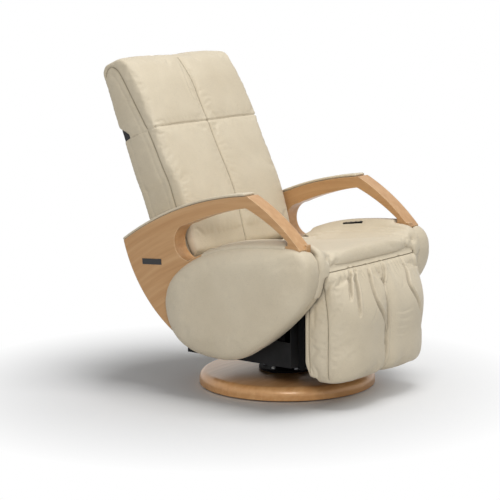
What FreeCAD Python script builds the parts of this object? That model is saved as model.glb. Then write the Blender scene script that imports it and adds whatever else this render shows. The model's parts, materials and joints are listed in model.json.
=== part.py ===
import FreeCAD, Part
import math
import os
import re
from types import SimpleNamespace

import Sketcher

# A swivel massage chair, in millimetres and degrees.
# The chair faces -Y and +Z is up; the origin is where the swivel axis meets the floor.
# Left is the sitter's left, +X. The two sides mirror each other in the plane X = 0.

SIZES = {
    # turned base
    "base_dia": 590,
    "base_rim_height": 20,
    "base_height": 50,
    "base_crown_dia": 250,
    "base_shoulder_round": 26,
    "glide_dia": 30,
    "glide_height": 4,
    "glide_count": 6,
    "glide_ring_dia": 530,
    # swivel
    "flange_dia": 190,
    "flange_thick": 8,
    "flange_screw_count": 6,
    "flange_screw_dia": 8,
    "flange_screw_length": 26,
    "flange_screw_head": 5,
    "flange_screw_ring_dia": 150,
    "column_dia": 84,
    "column_wall": 6,
    "column_top": 186,
    "bearing_dia": 110,
    "bearing_height": 10,
    "swivel_plate_side": 220,
    "swivel_plate_thick": 8,
    "spigot_length": 80,
    "running_gap": 0.06,
    # side pods: an egg whose four quarters are superellipses
    "egg_front": 343,
    "egg_front_height": 448,
    "egg_top_at": 270,
    "egg_top": 519,
    "egg_rear": 241,
    "egg_rear_height": 297,
    "egg_bottom_at": 12,
    "egg_bottom": 136,
    "egg_back_fullness": 2.16,
    "egg_nose_fullness": 2.3,
    "egg_chin_fullness": 1.53,
    "egg_heel_fullness": 2.4,
    "pod_bulge": 38,
    "pod_bulge_run": 140,
    # side boards between the seat and the pods
    "board_inner": 250,
    "board_thick": 26,
    "board_inset": 8,
    "bolster_rise": 11,
    "bolster_end": 128,
    "soft_gap": 0.3,
    # beech side frames
    "frame_thick": 57,
    "frame_tip_back": 428,
    "frame_tip_height": 486,
    "frame_apex_front": 97,
    "frame_apex_height": 673,
    "frame_top_mid_back": 172,
    "frame_top_mid_height": 614,
    "frame_foot_front": 304,
    "leg_edge_bow": 12,
    "rear_edge_bow": 36,
    "frame_tail_back": 200,
    "frame_tail_height": 192,
    "apex_round": 9,
    "tip_round": 5,
    "pod_seat_gap": 0.5,
    "rail_height": 10,
    "window_rear": 206,
    "window_rear_height": 512,
    "window_top_back": 158,
    "window_mid_back": 40,
    "window_apex_front": 92,
    "arm_depth_rear": 57.8,
    "arm_depth_middle": 47.5,
    "arm_depth_apex": 37.5,
    "window_front": 256,
    "leg_depth_front": 24.2,
    "window_corner_round": 9,
    "window_front_mid": 176,
    "leg_depth_middle": 32.9,
    "window_low_back": 148,
    "arm_pad_thick": 9,
    "arm_pad_inset": 1,
    "arm_pad_edge_round": 4,
    "arm_pad_rear_overhang": 3,
    "arm_pad_front_setback": 12,
    "tongue_thick": 20,
    "tongue_front_back": 262,
    "tongue_front_low": 470,
    "tongue_front_long": 42,
    "tongue_front_high": 62,
    "tongue_rear_front": 200,
    "tongue_rear_low": 262,
    "tongue_rear_high": 326,
    "tongue_rear_long": 46,
    "tongue_gap": 0.5,
    "frame_bolt_dia": 8,
    "frame_bolt_length": 40,
    "frame_bolt_head": 5,
    "bolt_edge": 18,
    "bolt_pitch_front": 20,
    "bolt_pitch_rear": 32,
    "plate_length": 82,
    "plate_height": 19,
    "plate_thick": 1.5,
    "plate_back": 304,
    "plate_up": 426,
    "plate_tilt": 4,
    # chassis
    "tube_wide": 30,
    "tube_high": 40,
    "tube_wall": 2.5,
    "end_plate": 6,
    "rail_spread": 170,
    "rail_front": 195,
    "rail_rear": 190,
    "cross_front": 150,
    "cross_rear": 70,
    "deck_level": 395,
    "deck_thick": 12,
    "deck_front": 262,
    "deck_rear": 150,
    "cushion_rear": 164,
    "bearer_side": 24,
    "bearer_front": 225,
    "pan_wall": 3,
    "pan_front": 205,
    "pan_rear": 225,
    "pan_low": 118,
    "pan_side_rim": 200,
    "pan_rear_rim": 236,
    "pan_front_rim": 320,
    "pan_hole_gap": 9,
    # seat upholstery
    "cushion_side_gap": 0.5,
    "cushion_crown": 9,
    "cushion_front_top": 494,
    "cushion_mid_front": 100,
    "cushion_mid_top": 471,
    "cushion_rear_top": 444,
    "roll_half_width": 234,
    "roll_nose_height": 476,
    "roll_step_back": 18,
    "flank_front": -270,
    "roll_front": 345,
    "roll_lip_front": 337,
    "roll_lip_height": 453,
    "roll_top_at": 296,
    # backrest, measured along and across the back from its hinge
    "back_hinge_back": 195,
    "back_hinge_height": 360,
    "back_lean": 21.5,
    "back_recline": 45,
    "back_pin_dia": 16,
    "back_pin_collar": 5,
    "back_half_width": 268,
    "back_base": 72,
    "back_front": 55,
    "pad_thick": 40,
    "back_depth": 92,
    "shell_wall": 5.7,
    "shell_notch_gap": 2,
    "shell_top": 744,
    "shoulder_seam": 518,
    "pad_crown": 6,
    "pad_edge_drop": 12,
    "seam_depth": 4,
    "head_half_width": 274,
    "head_top": 786,
    "head_brow_depth": 24,
    "head_bend_up": 684,
    "head_bend_depth": 39,
    "head_flap_thick": 6,
    "head_flap_end": 560,
    "upright_wide": 16,
    "upright_deep": 42,
    "upright_outer": 240,
    "upright_top": 715,
    "upright_foot": 12,
    "crossbar_thick": 12,
    "crossbar_high": 30,
    "crossbar_low_at": 137,
    "crossbar_high_at": 700,
    "ear_round": 14,
    "strut_drop": 12,
    "strut_rise": 28,
    "torsion_tube_dia": 24,
    "lever_thick": 8,
    "lever_offset": 45,
    "lever_round": 13,
    "recline_line_up": 28,
    # massage unit
    "guide_offset": 100,
    "guide_wide": 12,
    "guide_deep": 24,
    "guide_setback": 12,
    "guide_groove_wide": 10,
    "guide_groove_deep": 7,
    "guide_gap": 0.5,
    "guide_lead": 2,
    "screw_dia": 12,
    "screw_clear": 2,
    "screw_end": 4,
    "screw_depth": 72,
    "screw_block_wide": 32,
    "screw_block_high": 20,
    "lift_motor_dia": 40,
    "lift_motor_length": 78,
    "lift_box_inset": 3,
    "carriage_at": 330,
    "carriage_half_height": 62,
    "carriage_plate_thick": 4.5,
    "cheek_thick": 6,
    "cheek_offset": 76,
    "knead_axle_dia": 14,
    "knead_axle_depth": 22,
    "arm_plate_thick": 8,
    "arm_plate_offset": 40,
    "roller_dia": 42,
    "roller_wide": 20,
    "roller_offset": 56,
    "roller_spread": 42,
    "roller_depth": 18,
    "roller_round": 8,
    "roller_pin_dia": 10,
    "knead_motor_dia": 44,
    "knead_motor_length": 48,
    "knead_motor_gap": 3,
    "knead_motor_setback": 8,
    "knead_foot_inset": 4,
    "knead_foot_high": 20,
    # linear actuators
    "actuator_dia": 36,
    "actuator_gear_side": 46,
    "actuator_gear_length": 60,
    "actuator_motor_dia": 44,
    "actuator_motor_length": 92,
    "actuator_offset": 45,
    "motor_spread": 47,
    "recline_tube_front": 135,
    "recline_tube_rear": 100,
    "leg_tube_front": 205,
    "leg_tube_rear": 30,
    "rod_dia": 18,
    "recline_bore": 112,
    "recline_rod_inside": 30,
    "recline_fork_depth": 24,
    "leg_bore": 180,
    "leg_rod_inside": 170,
    "leg_fork_depth": 38,
    "leg_slot_lag": 4,
    "fork_neck": 10,
    "cradle_thick": 5,
    "lever_wall": 6,
    "fork_plate": 6,
    "fork_gap": 1,
    "drive_pin_dia": 10,
    "recline_slot_gap": 1.6,
    "recline_slot_spare": 2,
    "leg_slot_gap": 3.8,
    "leg_slot_spare": 4,
    "fork_round": 11,
    # leg rest, measured from its hinge
    "leg_hinge_front": 334,
    "leg_hinge_height": 448,
    "leg_range": 78,
    "leg_pin_dia": 12,
    "leg_drive_arm": 95,
    "leg_arm_wide": 24,
    "leg_arm_thick": 6,
    "leg_arm_outer": 243,
    "leg_bracket_thick": 5.5,
    "leg_bracket_reach": 46,
    "leg_bracket_round": 14,
    "leg_pin_head": 2,
    "leg_pin_rim": 2,
    "leg_cross_dia": 20,
    "leg_cross_at": 60,
    "leg_pad_half_width": 243,
    "leg_pad_top": 17,
    "leg_pad_bottom": 363,
    "leg_pad_rear": 68,
    "leg_pad_clear": 4,
    "leg_pad_bulge": 82,
    "leg_pad_valley": 12,
    "leg_pad_heel": 30,
    "leg_pad_heel_run": 40,
    "leg_pad_valley_run": 100,
    "leg_pad_edge": 5,
    "leg_board_thick": 12,
    "leg_board_top": 120,
    "leg_board_inset": 1.5,
    "leg_board_bottom": 345,
    # power and controls
    "supply_length": 150,
    "supply_width": 100,
    "supply_height": 62,
    "supply_front": 80,
    "inlet_wide": 50,
    "inlet_high": 30,
    "inlet_deep": 22,
    "inlet_proud": 1,
    "inlet_above_pan": 20,
    "rocker_wide": 13,
    "rocker_high": 20,
    "rocker_deep": 7,
    "rocker_gap": 0.6,
    "rocker_proud": 1,
    "rocker_wall": 4,
    "rocker_clear": 2,
    "rocker_axle_dia": 3,
    "rocker_axle_seat": 2,
    "socket_wide": 24,
    "socket_high": 18,
    "socket_deep": 16,
    "socket_wall": 3,
    "panel_length": 80,
    "panel_wide": 20,
    "panel_high": 7,
    "panel_from": 49,
    "panel_proud": 2,
    "panel_floor": 2,
    "panel_fit": 0.3,
    "button_count": 4,
    "button_dia": 9,
    "button_proud": 1.6,
    "button_travel": 1,
    "button_gap": 0.3,
}

doc = FreeCAD.newDocument("massage_chair")
sheet = doc.addObject("Spreadsheet::Sheet", "Sizes")
for row, (alias, amount) in enumerate(SIZES.items(), start=1):
    sheet.set(f"A{row}", alias)
    sheet.set(f"B{row}", str(amount))
    sheet.setAlias(f"B{row}", alias)
doc.recompute()

s = SimpleNamespace(**{alias: float(sheet.get(alias)) for alias in SIZES})
parts = []

V = FreeCAD.Vector
AXES = {"X": V(1, 0, 0), "Y": V(0, 1, 0), "Z": V(0, 0, 1)}
WORD = re.compile(r"[a-z][a-z_]*")


# Formulas: every size named in one points at its cell in the sheet

def formula(text):
    return WORD.sub(lambda word: f"Sizes.{word[0]}" if word[0] in SIZES else word[0], text)


def bind(thing, **texts):
    for path, text in texts.items():
        thing.setExpression(path.replace("__", "."), formula(text))


# Plain solids, set between two stations on each axis

def block(x_from, x_to, y_from, y_to, z_from, z_to):
    solid = doc.addObject("Part::Box", "block")
    bind(solid, Length=f"({x_to}) - ({x_from})")
    bind(solid, Width=f"({y_to}) - ({y_from})")
    bind(solid, Height=f"({z_to}) - ({z_from})")
    bind(solid, Placement__Base__x=x_from, Placement__Base__y=y_from, Placement__Base__z=z_from)
    return solid


def slab(half_width, y_from, y_to, z_from, z_to):
    return block(f"-({half_width})", half_width, y_from, y_to, z_from, z_to)


def bar(axis, diameter, start, end, first="0", second="0"):
    solid = doc.addObject("Part::Cylinder", "bar")
    solid.Placement = FreeCAD.Placement(V(), FreeCAD.Rotation(AXES["Z"], AXES[axis]))
    bind(solid, Radius=f"({diameter})/2", Height=f"({end}) - ({start})")
    stations = {"X": (start, first, second), "Y": (first, start, second), "Z": (first, second, start)}[axis]
    for name, station in zip("xyz", stations):
        solid.setExpression(f"Placement.Base.{name}", formula(station))
    return solid


def joined(*solids):
    whole = doc.addObject("Part::MultiFuse", "joined")
    whole.Shapes = list(solids)
    whole.Refine = True
    return whole


def grouped(*solids):
    whole = doc.addObject("Part::Compound", "grouped")
    whole.Links = list(solids)
    return whole


def less(base, *tools):
    rest = doc.addObject("Part::Cut", "less")
    rest.Base = base
    rest.Tool = tools[0] if len(tools) == 1 else joined(*tools)
    return rest


def mirrored(source):
    twin = doc.addObject("Part::Mirroring", "mirrored")
    twin.Source = source
    twin.Normal = AXES["X"]
    return twin


def solid_of(shape):
    """A piece whose shape comes from outlines worked out below."""
    piece = doc.addObject("Part::Feature", "shaped")
    piece.Shape = shape
    return piece


# Where each group of parts is set

def on_back(piece):
    piece.Placement = FreeCAD.Placement(V(), FreeCAD.Rotation(V(-1, 0, 0), s.back_lean))
    bind(piece, Placement__Base__y="back_hinge_back", Placement__Base__z="back_hinge_height")
    bind(piece, Placement__Rotation__Angle="back_lean")


def on_leg_rest(piece):
    bind(piece, Placement__Base__y="-leg_hinge_front", Placement__Base__z="leg_hinge_height")


def named(label, piece, place=None):
    if place and piece.TypeId in ("Part::Box", "Part::Cylinder"):
        piece = grouped(piece)
    if place:
        place(piece)
    piece.Label = label
    parts.append(piece)
    return piece


# Sketched bodies

def new_body(label):
    body = doc.addObject("PartDesign::Body", "body")
    named(label, body)
    return body


def sketch_on(body, role, height=None):
    sketch = body.newObject("Sketcher::SketchObject", "outline")
    sketch.AttachmentSupport = [(next(f for f in body.Origin.OriginFeatures if f.Role == role), "")]
    sketch.MapMode = "FlatFace"
    if height:
        bind(sketch, AttachmentOffset__Base__z=height)
    return sketch


def constrain(sketch, text, *place):
    number = sketch.addConstraint(Sketcher.Constraint(*place, 1.0))
    sketch.setExpression(f"Constraints[{number}]", formula(text))


def draw_circle(sketch, diameter, across="0", up="0"):
    circle = sketch.addGeometry(Part.Circle(V(1, 1, 0), AXES["Z"], 1), False)
    constrain(sketch, diameter, "Diameter", circle)
    if across == up == "0":
        sketch.addConstraint(Sketcher.Constraint("Coincident", circle, 3, -1, 1))
        return
    constrain(sketch, across, "DistanceX", -1, 1, circle, 3)
    constrain(sketch, up, "DistanceY", -1, 1, circle, 3)


def feature(body, kind, sketch, **texts):
    step = body.newObject(f"PartDesign::{kind}", kind.lower())
    step.Profile = sketch
    bind(step, **texts)
    body.Tip = step
    return step


def ring(count, diameter):
    """The two coordinates of each place on a circle, as formulas."""
    for turn in range(int(count)):
        angle = 360 * turn / int(count)
        yield f"{diameter}/2*cos({angle}deg)", f"{diameter}/2*sin({angle}deg)"


# Outlines in a plane: each stop is a place and the heading there, in degrees

def heading(angle):
    return complex(math.cos(math.radians(angle)), math.sin(math.radians(angle)))


def dot(a, b):
    return (a * b.conjugate()).real


def bow(start, end, leaving):
    """The middle of the arc that leaves start along a heading and reaches end."""
    chord = end - start
    turn = math.atan2((leaving.conjugate() * chord).imag, dot(leaving, chord))
    return (start + end) / 2 - 1j * chord / 2 * math.tan(turn / 2)


def curve(start, end, leaving, lift):
    middle = bow(start, end, leaving)
    if abs(middle - (start + end) / 2) < abs(end - start) * 1e-4:
        return Part.LineSegment(lift(start), lift(end)).toShape()
    return Part.Arc(lift(start), lift(middle), lift(end)).toShape()


def smooth_edges(stops, lift):
    """Two tangent arcs between each stop and the next."""
    edges = []
    for (start, leaving), (end, arriving) in zip(stops, stops[1:]):
        span = end - start
        both = dot(span, leaving + arriving)
        slack = 2 * (1 - dot(leaving, arriving))
        if slack < 1e-9:
            reach = abs(span) ** 2 / (2 * both)
        else:
            reach = (math.sqrt(both ** 2 + slack * abs(span) ** 2) - both) / slack
        meet = (start + end + reach * (leaving - arriving)) / 2
        edges.append(curve(start, meet, leaving, lift))
        edges.append(curve(end, meet, -arriving, lift))
    return edges


def straight(*places, lift):
    return [Part.LineSegment(lift(a), lift(b)).toShape() for a, b in zip(places, places[1:])]


def wire_of(edges):
    return Part.Wire(Part.sortEdges(edges)[0])


def in_side(x):
    """Lift a place in the side view, back and up, to a station across the chair."""
    return lambda place: V(x, place.real, place.imag)


def in_plan(z):
    return lambda place: V(place.real, place.imag, z)


def across(wire, x_from, x_to):
    """The solid that a side-view outline at x_from sweeps towards x_to."""
    return Part.Face(wire).extrude(V(x_to - x_from, 0, 0))


def lofted(wires):
    return Part.makeLoft(wires, True, False)


def one_solid(first, *others):
    whole = first
    for other in others:
        whole = whole.fuse(other)
    return whole.removeSplitter().Solids[0]


# The egg: four quarter superellipses between its rear, top, front and bottom

def egg_stops(inset):
    middle = complex((s.egg_rear - s.egg_front) / 2, (s.egg_top + s.egg_bottom) / 2)
    half_length = (s.egg_rear + s.egg_front) / 2
    half_height = (s.egg_top - s.egg_bottom) / 2
    shrink = 1 - inset / half_length, 1 - inset / half_height
    rear = complex(s.egg_rear, s.egg_rear_height)
    top = complex(-s.egg_top_at, s.egg_top)
    front = complex(-s.egg_front, s.egg_front_height)
    bottom = complex(s.egg_bottom_at, s.egg_bottom)
    quarters = (
        (rear, top, s.egg_back_fullness),
        (top, front, s.egg_nose_fullness),
        (front, bottom, s.egg_chin_fullness),
        (bottom, rear, s.egg_heel_fullness),
    )
    stops = []
    for number, (start, end, fullness) in enumerate(quarters):
        upright = number % 2 == 0
        centre = complex(end.real, start.imag) if upright else complex(start.real, end.imag)
        for turn in (0, 45):
            near = math.cos(math.radians(turn)) ** (2 / fullness)
            far = math.sin(math.radians(turn)) ** (2 / fullness)
            place = centre + near * (start - centre) + far * (end - centre)
            slope = far ** (fullness - 1) * (centre - start) + near ** (fullness - 1) * (end - centre)
            offset = place - middle
            place = middle + complex(offset.real * shrink[0], offset.imag * shrink[1])
            slope = complex(slope.real * shrink[0], slope.imag * shrink[1])
            stops.append((place, slope / abs(slope)))
    return stops


def egg(x, inset=0):
    stops = egg_stops(inset)
    return Part.Wire(smooth_edges(stops + stops[:1], in_side(x)))


def egg_crest(back, inset):
    """The height of the egg's upper edge at one place along it."""
    middle_back = (s.egg_rear - s.egg_front) / 2
    middle_height = (s.egg_top + s.egg_bottom) / 2
    spread = 1 - inset / ((s.egg_rear + s.egg_front) / 2)
    lift = 1 - inset / ((s.egg_top - s.egg_bottom) / 2)
    share = (middle_back + (back - middle_back) / spread + s.egg_top_at) / (s.egg_rear + s.egg_top_at)
    fullness = s.egg_back_fullness
    rise = (s.egg_top - s.egg_rear_height) * (1 - share ** fullness) ** (1 / fullness)
    return middle_height + (s.egg_rear_height + rise - middle_height) * lift


def arc_of(a, b, c, lift):
    return Part.Arc(lift(a), lift(b), lift(c)).toShape()


def bulged(a, b, rise, lift):
    """An arc from a to b that stands to the right of the line between them."""
    normal = -1j * (b - a) / abs(b - a)
    return arc_of(a, (a + b) / 2 + normal * rise, b, lift)


def stadium(x_from, x_to, start, end, radius):
    """A flat bar with round ends, between two places in the side view."""
    along = (end - start) / abs(end - start) * radius
    side = 1j * along
    lift = in_side(x_from)
    edges = [
        arc_of(start + side, start - along, start - side, lift),
        *straight(start - side, end - side, lift=lift),
        arc_of(end - side, end + along, end + side, lift),
        *straight(end + side, start + side, lift=lift),
    ]
    return across(wire_of(edges), x_from, x_to)


def disc(x_from, x_to, place, radius):
    return Part.makeCylinder(radius, x_to - x_from, V(x_from, place.real, place.imag), AXES["X"])


# Base and swivel

FLANGE_LEVEL = "(base_height + flange_thick)"
PLATE_LEVEL = "(column_top + bearing_height)"
CHASSIS_LEVEL = f"({PLATE_LEVEL} + swivel_plate_thick)"
CHASSIS_TOP = f"({CHASSIS_LEVEL} + tube_high)"
SPIGOT_DIA = "(column_dia - 2*column_wall - 2*running_gap)"


def base_disc():
    radius = s.base_dia / 2
    crown = s.base_crown_dia / 2
    width = radius - s.base_shoulder_round - crown
    rise = s.base_height - s.base_rim_height
    reach = (width ** 2 + rise ** 2 - s.base_shoulder_round ** 2) / (2 * (rise - s.base_shoulder_round))
    centre = complex(radius - s.base_shoulder_round, s.base_rim_height)
    high = complex(crown, s.base_height - reach)
    toward = (centre - high) / abs(centre - high)
    meet = centre + toward * s.base_shoulder_round
    shoulder = (toward + 1) / abs(toward + 1)
    crest = (toward + 1j) / abs(toward + 1j)

    def lift(place):
        return V(place.real, place.imag, 0)

    corners = (
        complex(crown, s.base_height),
        complex(0, s.base_height),
        complex(0, s.glide_height),
        complex(radius, s.glide_height),
        complex(radius, s.base_rim_height),
    )
    body = new_body("base_disc")
    profile = sketch_on(body, "XZ_Plane")
    for a, b in zip(corners, corners[1:]):
        profile.addGeometry(Part.LineSegment(lift(a), lift(b)), False)
    shoulder_middle = centre + shoulder * s.base_shoulder_round
    profile.addGeometry(Part.Arc(lift(corners[-1]), lift(shoulder_middle), lift(meet)), False)
    profile.addGeometry(Part.Arc(lift(meet), lift(high + crest * reach), lift(corners[0])), False)
    turned = body.newObject("PartDesign::Revolution", "turned")
    turned.Profile = profile
    turned.ReferenceAxis = (profile, ["V_Axis"])
    turned.Angle = 360
    body.Tip = turned
    holes = sketch_on(body, "XY_Plane", "base_height")
    for place in ring(s.flange_screw_count, "flange_screw_ring_dia"):
        draw_circle(holes, "flange_screw_dia", *place)
    feature(body, "Pocket", holes, Length="flange_screw_length - flange_thick")


def base_hardware():
    glides = [bar("Z", "glide_dia", "0", "glide_height")]
    for place in ring(s.glide_count, "glide_ring_dia"):
        glides.append(bar("Z", "glide_dia", "0", "glide_height", *place))
    named("base_glides", grouped(*glides))
    body = new_body("base_flange")
    outline = sketch_on(body, "XY_Plane", "base_height")
    draw_circle(outline, "flange_dia")
    for place in ring(s.flange_screw_count, "flange_screw_ring_dia"):
        draw_circle(outline, "flange_screw_dia", *place)
    feature(body, "Pad", outline, Length="flange_thick")
    screws = []
    for place in ring(s.flange_screw_count, "flange_screw_ring_dia"):
        head_top = f"{FLANGE_LEVEL} + flange_screw_head"
        shank_end = f"{FLANGE_LEVEL} - flange_screw_length"
        head = bar("Z", "1.75*flange_screw_dia", FLANGE_LEVEL, head_top, *place)
        screws.append(joined(head, bar("Z", "flange_screw_dia", shank_end, FLANGE_LEVEL, *place)))
    named("base_flange_screws", grouped(*screws))


def swivel_column():
    body = new_body("swivel_column")
    wall = sketch_on(body, "XY_Plane", FLANGE_LEVEL)
    draw_circle(wall, "column_dia")
    draw_circle(wall, "column_dia - 2*column_wall")
    feature(body, "Pad", wall, Length=f"column_top - {FLANGE_LEVEL}")
    body = new_body("thrust_bearing")
    race = sketch_on(body, "XY_Plane", "column_top")
    draw_circle(race, "bearing_dia")
    draw_circle(race, f"{SPIGOT_DIA} + 1")
    feature(body, "Pad", race, Length="bearing_height")


def swivel_plate():
    half = "swivel_plate_side/2"
    plate = slab(half, f"-{half}", half, PLATE_LEVEL, CHASSIS_LEVEL)
    spigot = bar("Z", SPIGOT_DIA, f"{PLATE_LEVEL} - spigot_length", PLATE_LEVEL)
    named("swivel_plate", joined(plate, spigot))


# Chassis

def chassis_frame():
    def tube(wall, ends):
        """The four crossing tubes as plain bars, thinned all round by a wall."""
        low, high = f"{CHASSIS_LEVEL} + {wall}", f"{CHASSIS_TOP} - {wall}"
        for side in (-1, 1):
            middle = f"{side}*rail_spread/2"
            yield block(f"{middle} - tube_wide/2 + {wall}", f"{middle} + tube_wide/2 - {wall}",
                        f"-rail_front - {ends}", f"rail_rear + {ends}", low, high)
        for middle in ("-cross_front", "cross_rear"):
            yield slab(f"board_inner + {ends}", f"{middle} - tube_wide/2 + {wall}",
                       f"{middle} + tube_wide/2 - {wall}", low, high)

    plates = []
    for middle in ("-cross_front", "cross_rear"):
        plate = block("board_inner - end_plate", "board_inner",
                      f"{middle} - tube_wide", f"{middle} + tube_wide",
                      CHASSIS_LEVEL, f"{CHASSIS_TOP} + tube_wide/2")
        plates += [plate, mirrored(plate)]
    named("chassis_frame", less(joined(*tube("0", "0"), *plates), *tube("tube_wall", "1")))


def seat_deck():
    named("seat_deck", slab("board_inner - soft_gap", "-deck_front", "deck_rear",
                            "deck_level", "deck_level + deck_thick"))
    bearer = block("board_inner - bearer_side", "board_inner", "-bearer_front", "deck_rear",
                   "deck_level - bearer_side", "deck_level")
    named("deck_bearers", grouped(bearer, mirrored(bearer)))


def belly_pan():
    side = "board_inner - soft_gap"
    wall = "pan_wall"
    low = f"pan_low + {wall}"
    outer = slab(side, "-pan_front", "pan_rear", "pan_low", "pan_front_rim")
    hollow = slab(f"{side} - {wall}", f"{wall} - pan_front", f"pan_rear - {wall}", low, "pan_front_rim + 1")
    above = "pan_front_rim + 1"
    above_sides = slab(f"{side} + 1", f"{wall} - pan_front", f"pan_rear - {wall}", "pan_side_rim", above)
    above_rear = slab(f"{side} + 1", f"pan_rear - 2*{wall}", "pan_rear + 1", "pan_rear_rim", above)
    hole = bar("Z", "column_dia + 2*pan_hole_gap", "pan_low - 1", f"{low} + 1")
    window = slab("inlet_wide/2", f"pan_rear - 2*{wall}", "pan_rear + 1",
                  INLET_LOW, f"{INLET_LOW} + inlet_high")
    named("belly_pan", less(outer, hollow, above_sides, above_rear, hole, window))


INLET_LOW = "(pan_low + inlet_above_pan)"


def power():
    named("power_supply_box", slab("supply_length/2", "supply_front", "supply_front + supply_width",
                                   "pan_low + pan_wall", "pan_low + pan_wall + supply_height"))
    face = "pan_rear + inlet_proud"
    front = f"{face} - inlet_deep"
    middle = f"{INLET_LOW} + inlet_high/2"
    housing = slab("inlet_wide/2", front, face, INLET_LOW, f"{INLET_LOW} + inlet_high")
    socket = block("socket_wall - inlet_wide/2", "socket_wall + socket_wide - inlet_wide/2",
                   f"{face} - socket_deep", f"{face} + 1",
                   f"{middle} - socket_high/2", f"{middle} + socket_high/2")
    right = "inlet_wide/2 - rocker_wall"
    left = f"{right} - rocker_wide - 2*rocker_gap"
    well = block(left, right, f"{face} - rocker_deep - rocker_clear", f"{face} + 1",
                 f"{middle} - rocker_high/2 - rocker_gap", f"{middle} + rocker_high/2 + rocker_gap")
    axle_at = (f"{face} - rocker_deep/2", middle)
    axle = (f"{left} - rocker_axle_seat", f"{right} + rocker_axle_seat")
    axle_bore = bar("X", "rocker_axle_dia + 2*running_gap", *axle, *axle_at)
    named("power_inlet", less(housing, socket, well, axle_bore))
    rocker = block(f"{right} - rocker_wide - rocker_gap", f"{right} - rocker_gap",
                   f"{face} - rocker_deep", f"{face} + rocker_proud",
                   f"{middle} - rocker_high/2 + rocker_proud", f"{middle} + rocker_high/2 - rocker_proud")
    named("power_switch", joined(rocker, bar("X", "rocker_axle_dia", *axle, *axle_at)))


# Sides of the seat

def bolt_places():
    """Two bolts in each tongue, one above the other."""
    edge = s.bolt_edge
    front = complex(-s.tongue_front_back - edge, s.tongue_front_low + edge / 2)
    tongue_middle = (s.tongue_rear_low + s.tongue_rear_high) / 2
    rear = complex(s.tongue_rear_front + edge, tongue_middle - s.bolt_pitch_rear / 2)
    return front, front + 1j * s.bolt_pitch_front, rear, rear + 1j * s.bolt_pitch_rear


def side_board():
    panel = across(egg(s.board_inner, s.board_inset), s.board_inner, s.board_inner + s.board_thick)
    outer = s.board_inner + s.board_thick
    hinge = complex(s.back_hinge_back, s.back_hinge_height)
    panel = panel.cut(disc(s.board_inner, outer, hinge, s.back_pin_dia / 2))
    for place in bolt_places():
        panel = panel.cut(disc(s.board_inner, outer, place, s.frame_bolt_dia / 2))
    board = solid_of(panel)
    named("side_board_left", board)
    named("side_board_right", mirrored(board))


def tongues(gap):
    """The two hidden tenons of a side frame, which lie behind the pod."""
    inner = s.board_inner + s.board_thick
    thick = s.tongue_thick + gap
    front_end = -s.tongue_front_back - s.tongue_front_long
    front = Part.makeBox(thick, s.tongue_front_long + 2 * gap, s.tongue_front_high + gap,
                         V(inner, front_end - gap, s.tongue_front_low - gap))
    rear = Part.makeBox(thick, s.tongue_rear_long + gap, s.tongue_rear_high - s.tongue_rear_low + 2 * gap,
                        V(inner, s.tongue_rear_front - gap, s.tongue_rear_low - gap))
    return front, rear


# The pod's crown: how far each outline stands out, and how far it draws in, as shares of the bulge
POD_CROWN = ((0, 0), (0.4, 0.06), (0.68, 0.2), (0.87, 0.42), (0.97, 0.7), (1, 1))


def side_pod():
    inner = s.board_inner + s.board_thick + s.soft_gap
    wood_face = s.board_inner + s.board_thick + s.frame_thick
    wall = across(egg(inner), inner, wood_face)
    crown = lofted([
        egg(wood_face + s.pod_bulge * out, s.pod_bulge_run * inset)
        for out, inset in POD_CROWN
    ])
    shape = wall.fuse(crown).removeSplitter()
    for tongue in tongues(s.tongue_gap):
        shape = shape.cut(tongue)
    pod = solid_of(shape.Solids[0])
    named("side_pod_left", pod)
    named("side_pod_right", mirrored(pod))


def frame_arc():
    """The three places that the arm's top line runs through."""
    return (
        complex(s.frame_tip_back, s.frame_tip_height),
        complex(s.frame_top_mid_back, s.frame_top_mid_height),
        complex(-s.frame_apex_front, s.frame_apex_height),
    )


def arm_circle():
    """The centre and radius of the arm's top line."""
    circle = arc_of(*frame_arc(), in_side(0)).Curve
    return complex(circle.Center.y, circle.Center.z), circle.Radius


def under_arm(back, depth):
    centre, radius = arm_circle()
    return complex(back, centre.imag + math.sqrt(radius ** 2 - (back - centre.real) ** 2) - depth)


def leg_edge(lift):
    """The outer edge of the arm loop's front leg, from the apex down to the pod."""
    return bulged(frame_arc()[2], complex(-s.frame_foot_front, s.egg_top), s.leg_edge_bow, lift)


def under_leg(back, depth):
    circle = leg_edge(in_side(0)).Curve
    run = math.sqrt(circle.Radius ** 2 - (back - circle.Center.y) ** 2)
    return complex(back, circle.Center.z + run - depth)


def round_along_x(shape, radius, places):
    """Round the edges across the chair that pass nearest to some places in the side view."""
    chosen = []
    for place in places:
        def away(edge):
            return abs(complex(edge.CenterOfMass.y, edge.CenterOfMass.z) - place)
        lengthwise = [e for e in shape.Edges if abs(e.BoundBox.YLength) + abs(e.BoundBox.ZLength) < 0.01]
        chosen.append(min(lengthwise, key=away))
    return shape.makeFillet(radius, chosen)


def window_shape(inner, outer):
    lift = in_side(inner)
    low = complex(s.window_low_back, egg_crest(s.window_low_back, -s.rail_height))
    rear = complex(s.window_rear, s.window_rear_height)
    top = under_arm(s.window_top_back, s.arm_depth_rear)
    middle = under_arm(s.window_mid_back, s.arm_depth_middle)
    apex = under_arm(-s.window_apex_front, s.arm_depth_apex)
    front_middle = under_leg(-s.window_front_mid, s.leg_depth_middle)
    front = under_leg(-s.window_front, s.leg_depth_front)
    foot = complex(-s.window_front, s.egg_front_height)
    edges = [
        arc_of(low, rear, top, lift),
        arc_of(top, middle, apex, lift),
        arc_of(apex, front_middle, front, lift),
        *straight(front, foot, complex(low.real, s.egg_rear_height), low, lift=lift),
    ]
    opening = across(wire_of(edges), inner, outer)
    opening = round_along_x(opening, s.window_corner_round, (apex, front))
    return opening.cut(across(egg(inner, -s.rail_height), inner, outer))


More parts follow.
